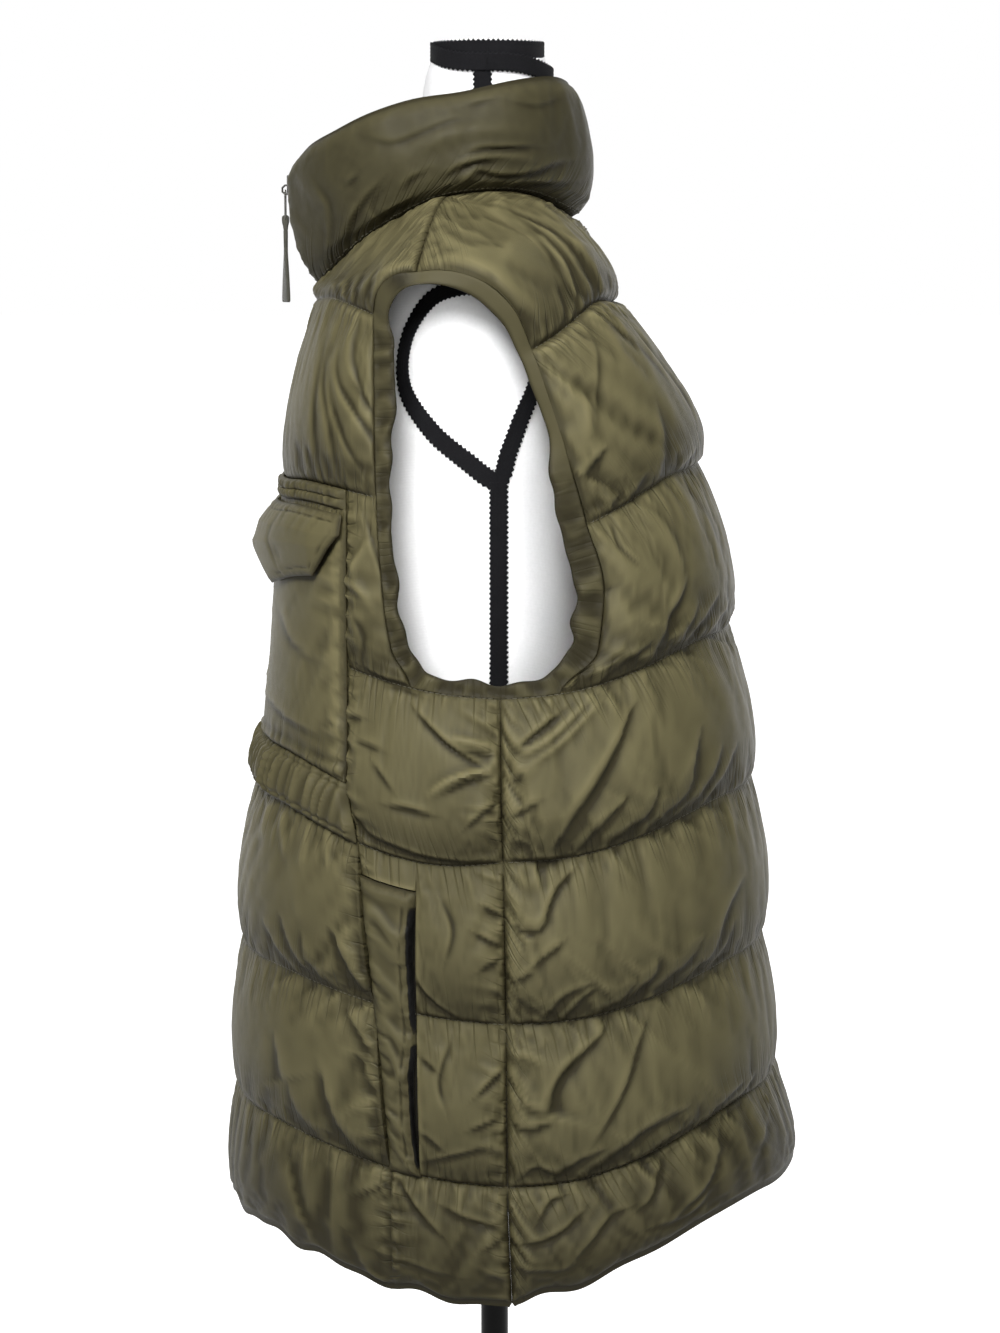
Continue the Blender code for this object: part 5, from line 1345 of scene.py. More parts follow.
def nylon(name, shade=1.0):
    """Shell cloth. `shade` scales its colours down, as painted shade for pieces that lie in shadow."""
    # `dark` is the colour of painted shade, and the last tone is a painted highlight for ridges.
    deep, light, dark, painted_highlight = ((*[k * c for c in tone], 1) for k, tone in (
        (shade, NYLON_DEEP), (shade, NYLON_LIGHT), (0.2, NYLON_PAINTED_SHADE), (1.5 * shade, NYLON_LIGHT)))
    material, tree, shader = new_material(name, [shade * c for c in NYLON], 0.5)
    place = node(tree, "TexCoord")
    cloth = place.outputs["UV"]
    cloudy = node(tree, "TexNoise", {"Vector": place.outputs["Object"], "Scale": 14.0, "Detail": 3.0})
    fine = node(tree, "TexNoise", {"Vector": place.outputs["Object"], "Scale": 190.0, "Detail": 2.0})
    seam, pull, tug, painted_shading = (node(tree, "Attribute", attribute_name=key).outputs["Fac"]
                               for key in ("seam", "pull", "tug", "painted_shading"))
    upright = maths(tree, "MULTIPLY", drawn_lines(tree, cloth, 120.0, 9.0),
                    maths(tree, "POWER", pull, 1.8))
    level = maths(tree, "MULTIPLY", drawn_lines(tree, cloth, 30.0, 90.0, 0.04),
                  maths(tree, "POWER", tug, 3.0))
    lines = maths(tree, "MAXIMUM", upright, level)
    # Painted shade next to thread (uneven along it), in hollows and along the fine lines.
    uneven = maths(tree, "MULTIPLY", seam, maths(tree, "MULTIPLY_ADD", fine.outputs[0], 1.1, -0.05))
    painted_shade_share = maths(tree, "MAXIMUM", uneven, maths(tree, "MULTIPLY", painted_shading, 0.85))
    painted_shade_share = maths(tree, "MAXIMUM", painted_shade_share, maths(tree, "MULTIPLY", lines, 0.42))
    tone = colour_mix(tree, cloudy.outputs[0], deep, light)
    # Painted highlight on ridges, where the shading value is below 0.
    tone = colour_mix(tree, maths(tree, "MULTIPLY", painted_shading, -0.9), tone, painted_highlight)
    cloth_tone = colour_mix(tree, painted_shade_share, tone, dark)
    # A seam value over 1 paints the shadow inside an opening near-black.
    painted_slit_shadow = maths(tree, "MULTIPLY_ADD", seam, 0.5, -0.6)
    tone = colour_mix(tree, painted_slit_shadow, cloth_tone, (0.0012, 0.001, 0.0006, 1))
    tree.links.new(tone, shader.inputs["Base Color"])
    tree.links.new(maths(tree, "MULTIPLY_ADD", fine.outputs[0], 0.14, 0.47), shader.inputs["Roughness"])
    ribs, threads = (node(tree, "TexWave", {"Vector": cloth, "Scale": scale, "Distortion": 0.6, "Detail": 1.0},
                          bands_direction=way) for scale, way in ((900.0, "Y"), (1100.0, "X")))
    weave = maths(tree, "ADD", ribs.outputs["Fac"], threads.outputs["Fac"])
    first = node(tree, "Bump", {"Height": weave, "Strength": 0.12, "Distance": 0.0002})
    drawn = node(tree, "Bump", {"Height": maths(tree, "MULTIPLY", lines, -1.0), "Strength": 0.6,
                                "Distance": 0.0016, "Normal": first.outputs[0]})
    wrinkle = node(tree, "TexNoise", {"Vector": place.outputs["Object"], "Scale": 95.0, "Detail": 4.0,
                                      "Roughness": 0.6})
    rumple = maths(tree, "MULTIPLY", wrinkle.outputs[0], maths(tree, "MULTIPLY_ADD", seam, 0.9, 0.2))
    last = node(tree, "Bump", {"Height": rumple, "Strength": 0.3, "Distance": 0.0016,
                               "Normal": drawn.outputs[0]})
    tree.links.new(last.outputs[0], shader.inputs["Normal"])
    shader.inputs["Specular IOR Level"].default_value = 0.14
    return material


OLIVE_NYLON = nylon("olive_nylon")
# The collar's and the bands' copies are darkened as painted shade, for cloth turned away from the light.
SHADED_COLLAR_NYLON = nylon("olive_nylon_collar_painted_shade", 0.46)
SHADED_BAND_NYLON = nylon("olive_nylon_band_painted_shade", 0.72)
print(OLIVE_NYLON.name, len(OLIVE_NYLON.node_tree.nodes), "nodes")

# %% Make the quilted pieces
for piece_name in PLANS:
    dressed_wall(piece_name, SHADED_COLLAR_NYLON if piece_name == "collar" else OLIVE_NYLON)
print("quilted pieces made after", round(time.time() - STARTED, 1), "s")

# %% [markdown]
# ## Gathered strips
# A narrow strip under the yoke and the casing of the waist cord are cut longer than the front and drawn
# up, so they stand in many small uneven pleats. They lie on the flat front, so no air lifts them: their
# pleats are shaped directly, each with its own width, height and bend.
# %% Strip and casing
def pleats(rng, run, share, pitch, tall):
    """Uneven upright pleats. `share` runs from 0 to 1 across the strip."""
    field = np.zeros_like(run)
    spots = np.arange(run.min() + 2, run.max(), pitch)
    for at in spots + rng.uniform(-0.35, 0.35, len(spots)) * pitch:
        wide, high = rng.uniform(0.26, 0.42) * pitch, tall * rng.uniform(0.4, 1.0)
        bend, lean = rng.uniform(-0.4, 0.4) * pitch, rng.uniform(-0.5, 0.5) * pitch
        x = (run - at - lean * (share - 0.5) - bend * np.sin(math.pi * share)) / wide
        near = np.abs(x) < 3.5
        field[near] += high * np.exp(-x[near] ** 2)
    return field - 0.45 * tall


def fill_out(share):
    """0 at both ends of the share, 1 in its middle, and nearly full between."""
    return (1 - np.abs(2 * np.clip(share, 0, 1) - 1) ** 2.3) ** 0.6


def laid_strip(name, side, levels, columns, shape, pitch, tall):
    """A strip laid on the front between two levels. `shape` gives its height from the share across."""
    points, out = cloth_place("front", levels, side * columns)
    run, drop = run_across(points), run_down(points)
    share = drop / drop[-1:]
    away = to_ends(drop.T).T
    rng = np.random.default_rng(sum(ord(c) for c in name))
    folded = pleats(rng, run, share, pitch, tall) * (0.25 + 0.75 * edge_fade(away, 5))
    height = LAID_ON + np.maximum(1.6 + (shape(share) + folded) * edge_fade(to_ends(run), 4), 1.0)
    # Painted shade beside the strip's sewn edges and in its pleats' valleys.
    values = {"seam": np.clip(1 - away / 5, 0, 1) ** 1.5,
              "painted_shading": np.clip(0.3 - 0.8 * folded / tall, 0, 0.7)}
    wall = sewn_wall(name + "_cloth", points + out * height[..., None], points + out * LAID_ON,
                     np.ones((len(levels) - 1, len(columns) - 1), bool), run, drop, 0.8, values)
    finish_soft(wall, name, OLIVE_NYLON)


for word, side in SIDES:
    laid_strip(f"yoke_strip_{word}", side, stops_with((2, 2.1), (20,)), stops_with((0, 1), (110,)),
               lambda t: 1.0 + 1.9 * fill_out((2 * t) % 1.0), 6.0, 1.9)
    laid_strip(f"waist_casing_{word}", side, stops_with((3.65, 4), (36,)), stops_with((0, 1), (110,)),
               lambda t: 6.8 * fill_out(t ** 1.1) - 1.6 * np.exp(-((t - 0.14) / 0.04) ** 2)
               - 1.6 * np.exp(-((t - 0.88) / 0.04) ** 2), 7.0, 3.4)

# %% [markdown]
# ## Flap and hand pocket
# The flap is cut with clipped corners, sewn along its top and closed by a hidden snap, which dimples it.
# The hand pocket's welt stops short of the side panel and leaves a slit, open in two places. Both follow
# the front's surface, at places that are no longer a plain grid, so they are read from a fine one.
# %% Places off the grid
fine_points, fine_out = cloth_place("front", np.linspace(2, 6, 241), np.linspace(0, 2, 121))


def front_at(levels, columns, side):
    """Points and normals of the front at any levels and columns."""
    i = np.clip((levels - 2) / 4 * 240, 0, 239.999)
    j = np.clip(columns / 2 * 120, 0, 119.999)
    a, b = i.astype(int), j.astype(int)
    s, t = (i - a)[..., None], (j - b)[..., None]

    def read(grid):
        return ((grid[a, b] * (1 - t) + grid[a, b + 1] * t) * (1 - s)
                + (grid[a + 1, b] * (1 - t) + grid[a + 1, b + 1] * t) * s)
    flip = np.array([side, 1, 1])
    return read(fine_points) * flip, unit(read(fine_out)) * flip


def painted_hollow_shade(swell, more=0.0):
    """Painted shade where the cloth lies below what is round it."""
    return np.clip((blurred(swell, 8) - swell) / 0.7 + more, 0, 0.9)


print("the armhole's foot lies at", front_at(np.array([3.0]), np.array([2.0]), 1)[0][0].round())

# %% Flaps
POCKET_LEVELS = np.array([2.1, 2.25, 2.5, 2.8, 3, 3.2, 3.5, 3.65])
FLAP_MIDDLE = 0.52
v, u = np.meshgrid(np.linspace(0, 1, 41), np.linspace(0, 1, 61), indexing="ij")
front_clip, back_clip = (k * np.clip((v - start) / (1 - start), 0, 1)
                         for k, start in ((0.4, 0.55), (0.15, 0.4)))
# Places on the pocket: its width and its height are 7 steps each.
across = (front_clip + u * (1 - front_clip - back_clip)) * 7
down = (0.03 + (0.31 - 0.06 * u) * v) * 7
on_pocket = np.clip(np.minimum(down, 7 - down), 0, 1) * np.clip(np.minimum(across, 7 - across), 0, 1)
lift = 7.0 + 4.5 * on_pocket + np.minimum(v / 0.6, 1 - 0.75 * (v - 0.6) / 0.4) * (3.5 + 9.5 * (1 - u) ** 2)
ridge = np.exp(-((u - FLAP_MIDDLE + 0.1 * v) / 0.03) ** 2) * fill_out(v)
dimple = np.exp(-(((u - FLAP_MIDDLE) * 95) ** 2 + ((v - 0.72) * 52) ** 2) / 42)
for word, side in SIDES:
    points, out = front_at(np.interp(down, range(8), POCKET_LEVELS), (1 + across) / 8, side)
    inner = points + out * lift[..., None]
    run, drop = run_across(inner), run_down(inner)
    edge = to_edges(run, drop)
    rng = np.random.default_rng(31 + side)
    swell = 1.8 + 1.8 * edge_fade(edge, 12) - 0.7 * ridge - 1.0 * dimple
    swell += gathers(rng, run, drop, 6.5, 30, 1.1) + gathers(rng, run, drop[-1:] - drop, 9, 16, 0.7)
    swell = np.maximum(swell - 0.9 * np.exp(-((edge - 5.0) / 0.7) ** 2), 1.2)
    # Painted shade near the flap's edges and in its hollows.
    flap = sewn_wall(f"pocket_flap_{word}_cloth", inner + out * swell[..., None], inner,
                     np.ones((40, 60), bool), run, drop, 0.9,
                     {"seam": np.clip(1 - edge / 5, 0, 1) ** 1.5, "painted_shading": painted_hollow_shade(swell)})
    finish_soft(flap, f"pocket_flap_{word}", OLIVE_NYLON)

# %% Welts
# Each opening of the slit: top level, foot level and width in mm.
SLIT_OPEN = ((4.24, 5.24, 4.5), (5.18, 5.99, 8.5))
level, share = np.meshgrid(np.linspace(4.2, 6, 121), np.linspace(0, 1, 31), indexing="ij")
gap = 0.6 + sum(wide * np.sin(math.pi * np.clip((level - top) / (foot - top), 0, 1) ** 0.8) ** 0.9
                for top, foot, wide in SLIT_OPEN)
# Where the slit gapes, its inside gets a near-black painted shadow.
welt_slit_shadow = 6.0 * smoothstep((share - 0.88) / 0.1) * smoothstep((gap - 1.5) / 2)
for word, side in SIDES:
    points, out = front_at(level, 1 + share * (1 - gap / 52), side)
    run, drop = run_across(points), run_down(points)
    edge, from_slit = to_edges(run, drop), run[:, -1:] - run
    rng = np.random.default_rng(77 + side)
    swell = 1.8 + 6.2 * edge_fade(edge, 9) * (0.75 + 0.25 * np.cos(2 * math.pi * (level - 4.6)))
    swell += pleats(rng, drop, 2 * share, 19, 3.0) * edge_fade(edge, 8) + gathers(rng, drop, run, 9, 20, 2.0)
    swell += gathers(rng, drop, from_slit, 8, 16, 1.8)
    swell = np.clip(swell - np.exp(-((from_slit - 6.5) / 0.9) ** 2), 1.2, 9.0)
    # Painted shade near the welt's edges and in its hollows.
    welt = sewn_wall(f"hand_pocket_welt_{word}_cloth", points + out * (LAID_ON + swell)[..., None],
                     points + out * LAID_ON, np.ones((120, 30), bool), run, drop, 0.9,
                     {"seam": np.maximum(np.clip(1 - edge / 7, 0, 1), welt_slit_shadow), "painted_shading": painted_hollow_shade(swell, 0.15)})
    finish_soft(welt, f"hand_pocket_welt_{word}", OLIVE_NYLON)

# %% [markdown]
# ## Armhole bands
# A band of the same nylon is sewn round each armhole, turned in and drawn up by its stitches. Its seam
# follows the panels' edge, corner and all. Its inner edge is smoothed along the loop, because gathered
# cloth rounds a corner, and short pleats run across it. Its nylon copy is darkened as painted shade, and
# its gathers, inner edge and seam get more painted shade, with a painted shadow in one notch.
# %% Shape of the bands
BAND_RINGS = [
    # reach, height where it is gathered, height where it rolls over, share of the pleats
    (0.0, 0.72, 0.99, 0.0), (0.04, 0.8, 0.97, 0.3), (0.1, 0.78, 0.94, 0.6), (0.2, 0.66, 0.87, 0.9),
    (0.34, 0.62, 0.76, 1.0), (0.5, 0.62, 0.63, 1.0), (0.66, 0.6, 0.49, 1.0), (0.8, 0.54, 0.36, 0.9),
    (0.91, 0.42, 0.24, 0.7), (0.98, 0.26, 0.14, 0.4), (1.0, 0.1, 0.05, 0.2), (0.92, -0.02, -0.04, 0.0),
    (0.6, -0.06, -0.08, 0.0), (0.25, 0.0, -0.04, 0.0),
]
BAND_WIDE = {
    # height of the place, width of the band there
    "front": [(960, 9), (985, 11), (1000, 11), (1030, 10), (1065, 9), (1100, 10), (1150, 14), (1190, 16),
              (1215, 11), (1235, 7)],
    "back": [(960, 9), (985, 14), (1010, 20), (1083, 18), (1112, 16), (1128, 9), (1140, 6), (1155, 6),
             (1172, 7), (1198, 8), (1215, 7), (1235, 7)],
}
# Where the band is gathered rather than rolled over, by the height of the place.
BAND_GATHERED = {"front": [(1195, 1.0), (1225, 0.0)], "back": [(1105, 1.0), (1130, 0.0)]}
AROUND_ARMHOLE = 420


def armhole_loop(side):
    """Points and normals of the armhole seam: down the front, under the arm and up the back."""
    parts = []
    for face, rows, columns in (("front", np.linspace(0, 3, 130), [2.0]),
                                ("front", [3.0], np.linspace(2, 3, 40)[1:]),
                                ("back", [3.0], np.linspace(3, 2, 40)[1:]),
                                ("back", np.linspace(3, 0, 130)[1:-1], [2.0])):
        points, out = cloth_place(face, rows, side * np.asarray(columns))
        parts.append((points.reshape(-1, 3), out.reshape(-1, 3)))
    points, out = (np.concatenate([part[k] for part in parts]) for k in (0, 1))
    points, out = np.vstack([points, points[:1]]), np.vstack([out, out[:1]])
    run = run_of(points)
    at = np.linspace(0, run[-1], AROUND_ARMHOLE, endpoint=False)
    return read_at(at, run, points), unit(read_at(at, run, out)), run[-1]


def round_loop(values, passes):
    """Smooths values along a closed loop."""
    for _ in range(passes):
        values = (np.roll(values, 1, axis=0) + 2 * values + np.roll(values, -1, axis=0)) / 4
    return values


def along_armhole(table, in_front, high):
    """A table's value at each place of the loop: one list of heights for the front, one for the back."""
    front, back = (np.interp(high, *np.array(table[face]).T) for face in ("front", "back"))
    return np.where(in_front, front, back)


def panel_edge(side):
    """Points on the outer face along the armhole, on the panels that the band is sewn to."""
    found = []
    word = "_left" if side > 0 else "_right"
    for name in ("front_yoke" + word, "side_front" + word, "back"):
        piece = PLANS[name]
        column = int(np.argmin(np.abs(piece["columns"] - 2 * side)))
        rows = piece["levels"] <= 3
        found.append(piece["outer"][rows, column])
        if not name.startswith("front_yoke"):
            row = int(np.argmin(np.abs(piece["levels"] - 3)))
            found.append(piece["outer"][row, piece["columns"] * side >= 2])
    return np.concatenate(found)


print("the armhole seam is", round(float(armhole_loop(1)[2])), "mm long")

# %% Both bands
for word, side in SIDES:
    seam_line, out, length = armhole_loop(side)
    edge = panel_edge(side)
    nearest = edge[np.argmin(np.linalg.norm(edge[None] - seam_line[:, None], axis=2), axis=1)]
    stand = round_loop(np.clip(((nearest - seam_line) * out).sum(axis=1), 2.0, 9.0), 10)
    out = unit(round_loop(out, 60))
    travel = unit(np.roll(seam_line, -1, axis=0) - np.roll(seam_line, 1, axis=0))
    inward = unit(np.cross(travel, out))
    inward *= np.sign(((seam_line.mean(axis=0) - seam_line) * inward).sum(axis=1).mean())
    inward = unit(round_loop(inward, 90))
    in_front, high = seam_line[:, 1] < -20, seam_line[:, 2]
    gathered = round_loop(along_armhole(BAND_GATHERED, in_front, high), 12)
    rng = np.random.default_rng(5 + side)
    run = np.linspace(0, length, len(seam_line), endpoint=False)
    wander = sum(rng.uniform(0.5, 1.0) * np.sin(2 * math.pi * run * k / length + rng.uniform(0, 6.28))
                 for k in (7, 13, 19, 26))
    width = round_loop(along_armhole(BAND_WIDE, in_front, high), 12) + (0.2 + 0.6 * gathered) * wander
    rounded = round_loop(seam_line, 90)
    # A painted shadow in the notch at the front top corner of the armhole.
    painted_notch_shadow = np.exp(-((seam_line[:, 1] + 60) / 8) ** 2) * (high > 1205)
    sections, shades = [], []
    for reach, tucked, over, waving in BAND_RINGS:
        share = np.full_like(run, reach)
        wave = (pleats(np.random.default_rng(11 + side), run, share, 17.0, 2.2)
                + pleats(np.random.default_rng(21 + side), run, share, 6.5, 0.8)) * (0.1 + 0.9 * gathered)
        height = np.maximum(stand * (tucked * gathered + over * (1 - gathered)) + waving * wave,
                            0.7 * waving - 0.08 * stand * (waving == 0))
        base = seam_line + (rounded - seam_line) * smoothstep(reach / 0.6)
        sections.append(base + inward * (reach * width - 0.1)[:, None] + out * height[:, None])
        # Painted shade where the band is gathered and in its pleats' valleys, at its inner edge, along its seam
        # and in the notch.
        shade = gathered * (0.62 - 0.5 * wave * waving) + 0.75 * smoothstep((reach - 0.75) / 0.25)
        shade += 0.5 * gathered * (reach < 0.07) + (reach < 0.85) * painted_notch_shadow
        shades.append(np.clip(shade, 0, 1))
    grid, shade = np.array(sections), np.concatenate(shades)
    rings, count = grid.shape[:2]
    number = np.arange(rings * count).reshape(rings, count)
    uv = np.stack([np.tile(run, rings), np.repeat(np.arange(rings) * 3.0, count)], -1)
    band = mesh_of(f"armhole_band_{word}_cloth", grid.reshape(-1, 3), tube_faces(number, True), uv,
                   {"seam": 0.6 * shade + 0.8 * np.tile(painted_notch_shadow, rings), "painted_shading": shade,
                    "pull": np.tile(0.45 * gathered, rings)})
    finish_soft(band, f"armhole_band_{word}", SHADED_BAND_NYLON)

# %% [markdown]
# ## Dress form
# The form is a smooth shell without limbs, covered in white jersey. Its level sections are rounded
# rectangles, so it starts as one closed ring of points, which is extruded upwards section by section,
# and each new ring is scaled and moved to its place. The same table gives the tape's path later.
# %% Sections of the form
FORM_POWER = 2.15
FORM_ROWS = [
    # z, half width, front, back
    (1394, 40, -41.5, 33.5), (1376, 41, -48, 38.5), (1350, 42.5, -52, 40), (1322, 45, -55, 39),
    (1302, 52, -58, 38), (1290, 73, -62, 38), (1282, 87.7, -66, 42), (1270, 103, -72, 49),
    (1256, 120, -78, 54), (1240, 140, -83, 60), (1222, 151, -89, 66), (1190, 156, -96, 71),
    (1140, 155, -105, 76), (1080, 150, -111, 78), (1020, 146, -108, 75), (960, 140, -99, 70),
    (900, 132, -90, 68), (850, 130, -88, 73), (790, 139, -91, 83), (730, 148, -95, 91),
    (690, 148, -94, 92),
]
FORM_AROUND, NECK_TOP = 96, 1394
CAP_THICK, CAP_ROUND = 6.0, 1.2
form_table = np.array(FORM_ROWS[::-1], float)


def form_row(z):
    """Half width, front and back of the form at heights z."""
    return smooth_between(form_table[:, 0], form_table[:, 1:], np.atleast_1d(z))


def form_side(y, z):
    """Points on the form's left side at the given y and z, and their normals."""
    def place(y, z):
        half, front, back = form_row(z).T
        share = np.clip(np.abs((y - (front + back) / 2) / ((back - front) / 2)), 0, 0.9995)
        return np.stack([half * (1 - share ** FORM_POWER) ** (1 / FORM_POWER), y, z], -1)
    y, z = np.broadcast_arrays(np.asarray(y, float), np.asarray(z, float))
    out = np.cross(place(y + 3, z) - place(y - 3, z), place(y, z + 3) - place(y, z - 3))
    return place(y, z), unit(out)


print("the form is", round(2 * float(form_row(1240)[0, 0])), "mm wide at the shoulders")

# %% Rings that are raised section by section
def start_ring(name, height):
    """A filled ring of points in the form's section at a height, in edit mode and selected."""
    bpy.ops.object.select_all(action="DESELECT")
    bpy.ops.mesh.primitive_circle_add(vertices=FORM_AROUND, radius=1, fill_type="NGON")
    obj = bpy.context.object
    obj.name = name
    half, front, back = form_row(height)[0]
    for vert in obj.data.vertices:
        x, y = (math.copysign(abs(c) ** (2 / FORM_POWER), c) for c in vert.co.xy)
        vert.co = (x * half * MM, ((front + back) / 2 + y * (back - front) / 2) * MM, height * MM)
    bpy.ops.object.mode_set(mode="EDIT")
    bpy.ops.mesh.select_all(action="SELECT")
    return obj


def rise_by(y, z):
    """Extrudes the selected ring and moves it."""
    bpy.ops.mesh.extrude_region_move(TRANSFORM_OT_translate={"value": (0, y, z)})


def raise_ring(low, high):
    """Extrudes the selected ring from one height to another and fits it to the form there."""
    before, after = form_row(low)[0], form_row(high)[0]
    deep = (after[2] - after[1]) / (before[2] - before[1])
    middle, old = (after[1] + after[2]) / 2, (before[1] + before[2]) / 2
    rise_by((middle - old) * MM, (high - low) * MM)
    bpy.ops.transform.resize(value=(after[0] / before[0], deep, 1),
                             center_override=(0, middle * MM, high * MM))


def close_edit(angle):
    """Welds the piece in edit mode, turns its faces outward and shades it smooth up to an angle."""
    bpy.ops.mesh.select_all(action="SELECT")
    bpy.ops.mesh.remove_doubles(threshold=1e-6)
    bpy.ops.mesh.normals_make_consistent(inside=False)
    bpy.ops.object.mode_set(mode="OBJECT")
    bpy.ops.object.shade_smooth_by_angle(angle=math.radians(angle))


def show_piece(obj, material, nodes, body=BODY):
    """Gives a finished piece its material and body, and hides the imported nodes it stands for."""
    obj.data.materials.clear()
    obj.data.materials.append(material)
    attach(obj, body)
    if nodes:
        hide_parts(*nodes)
    print(obj.name, len(obj.data.polygons), "faces")

# %% Torso and neck cap
form_heights = [690.0, *np.arange(700, 1230, 10.0), *np.arange(1230, 1310, 4.0),
                *np.arange(1310, NECK_TOP, 6.0), NECK_TOP]
torso = start_ring("form_torso_shell", form_heights[0])
for low, high in zip(form_heights, form_heights[1:]):
    raise_ring(low, high)
bpy.ops.mesh.inset(thickness=3 * MM)
close_edit(50)
neck_cap = start_ring("form_neck_cap_cover", NECK_TOP)
bpy.ops.transform.translate(value=(0, 0, SEAM_GAP * MM))
rise_by(0, (CAP_THICK - CAP_ROUND) * MM)
rise_by(0, CAP_ROUND * MM)
bpy.ops.transform.resize(value=(0.965, 0.965, 1), center_override=(0, -4 * MM, 1.4))
bpy.ops.mesh.inset(thickness=9 * MM)
bpy.ops.transform.translate(value=(0, 0, 0.8 * MM))
close_edit(50)
print("sections of the torso:", len(form_heights))

# %% Jersey, braid, lacquer and metal
def knit_material():
    """White jersey: fine upright wales on object coordinates, slightly grey with handling."""
    material, tree, shader = new_material("form_jersey", (0.8, 0.8, 0.8), 0.85)
    place = node(tree, "TexCoord").outputs["Object"]
    cloudy = node(tree, "TexNoise", {"Vector": place, "Scale": 9.0, "Detail": 4.0})
    specks = node(tree, "TexNoise", {"Vector": place, "Scale": 420.0, "Detail": 2.0})
    soiled = maths(tree, "MULTIPLY_ADD", cloudy.outputs[0], 0.4,
                   maths(tree, "MULTIPLY", specks.outputs[0], 0.5))
    tree.links.new(colour_mix(tree, soiled, (0.70, 0.70, 0.70, 1), (0.86, 0.86, 0.87, 1)),
                   shader.inputs["Base Color"])
    tree.links.new(maths(tree, "MULTIPLY_ADD", specks.outputs[0], 0.2, 0.72), shader.inputs["Roughness"])
    wales = node(tree, "TexWave", {"Vector": place, "Scale": 300.0, "Distortion": 1.2, "Detail": 2.0},
                 bands_direction="Z")
    lumps = maths(tree, "MULTIPLY_ADD", wales.outputs["Fac"], 0.4, specks.outputs[0])
    bump = node(tree, "Bump", {"Height": lumps, "Strength": 0.25, "Distance": 0.0006})
    tree.links.new(bump.outputs[0], shader.inputs["Normal"])
    shader.inputs["Sheen Weight"].default_value = 0.25
    return material


def woven_material(name, dark, light, ribs, roughness, sheen=0.2):
    """Narrow woven goods: slanting threads on the strip's own UV map, with a little lint."""
    material, tree, shader = new_material(name, dark, roughness)
    place = node(tree, "TexCoord")
    strip = place.outputs["UV"]
    slant = node(tree, "TexWave", {"Vector": strip, "Scale": ribs, "Distortion": 0.8, "Detail": 2.0},
                 bands_direction="DIAGONAL")
    along_it = node(tree, "TexWave", {"Vector": strip, "Scale": ribs * 0.6, "Distortion": 0.4},
                    bands_direction="X")
    lint = node(tree, "TexNoise", {"Vector": place.outputs["Object"], "Scale": 700.0, "Detail": 2.0})
    worn = node(tree, "TexNoise", {"Vector": place.outputs["Object"], "Scale": 60.0, "Detail": 4.0})
    weave = maths(tree, "MULTIPLY_ADD", slant.outputs["Fac"], 0.6,
                  maths(tree, "MULTIPLY", along_it.outputs["Fac"], 0.4))
    tone = maths(tree, "MULTIPLY_ADD", weave, 0.5, maths(tree, "MULTIPLY", worn.outputs[0], 0.5))
    tree.links.new(colour_mix(tree, tone, (*dark, 1), (*light, 1)), shader.inputs["Base Color"])
    tree.links.new(maths(tree, "MULTIPLY_ADD", lint.outputs[0], 0.2, roughness - 0.1),
                   shader.inputs["Roughness"])
    height = maths(tree, "MULTIPLY_ADD", lint.outputs[0], 0.3, weave)
    bump = node(tree, "Bump", {"Height": height, "Strength": 0.6, "Distance": 0.0005})
    tree.links.new(bump.outputs[0], shader.inputs["Normal"])
    shader.inputs["Sheen Weight"].default_value = sheen
    return material


def hard_material(name, dark, light, roughness, metallic, grain):
    """Metal or lacquer: noise on object coordinates varies colour and gloss, with a faint uneven skin."""
    material, tree, shader = new_material(name, dark, roughness, metallic)
    place = node(tree, "TexCoord").outputs["Object"]
    patches = node(tree, "TexNoise", {"Vector": place, "Scale": grain, "Detail": 5.0, "Roughness": 0.6})
    fine = node(tree, "TexNoise", {"Vector": place, "Scale": grain * 14, "Detail": 2.0})
    tree.links.new(colour_mix(tree, patches.outputs[0], (*dark, 1), (*light, 1)), shader.inputs["Base Color"])
    tree.links.new(maths(tree, "MULTIPLY_ADD", patches.outputs[0], 0.25, roughness - 0.1),
                   shader.inputs["Roughness"])
    bump = node(tree, "Bump", {"Height": fine.outputs[0], "Strength": 0.08, "Distance": 0.0002})
    tree.links.new(bump.outputs[0], shader.inputs["Normal"])
    return material


print("materials so far:", [material.name for material in bpy.data.materials])

# %% One material for each kind of surface
JERSEY = knit_material()
BRAID = woven_material("black_braid", (0.002, 0.002, 0.003), (0.012, 0.012, 0.014), 700.0, 0.85, 0.0)
WEBBING = woven_material("olive_webbing", (0.034, 0.033, 0.024), (0.075, 0.072, 0.052), 900.0, 0.7)
COIL = hard_material("coil_plastic", (0.028, 0.027, 0.02), (0.05, 0.048, 0.036), 0.42, 0.0, 300.0)
GUNMETAL = hard_material("gunmetal_plate", (0.10, 0.098, 0.09), (0.2, 0.195, 0.18), 0.36, 1.0, 500.0)
LACQUER = hard_material("black_lacquer", (0.002, 0.002, 0.002), (0.006, 0.006, 0.006), 0.42, 0.0, 25.0)
THREAD = woven_material("olive_thread", (0.07, 0.064, 0.034), (0.13, 0.118, 0.066), 2500.0, 0.55, 0.1)
for material, specular in ((BRAID, 0.2), (LACQUER, 0.1)):
    shader = material.node_tree.nodes["Principled BSDF"]
    shader.inputs["Specular IOR Level"].default_value = specular
show_piece(torso, JERSEY, ["form_torso"])
show_piece(neck_cap, JERSEY, ["form_neck_cap"])

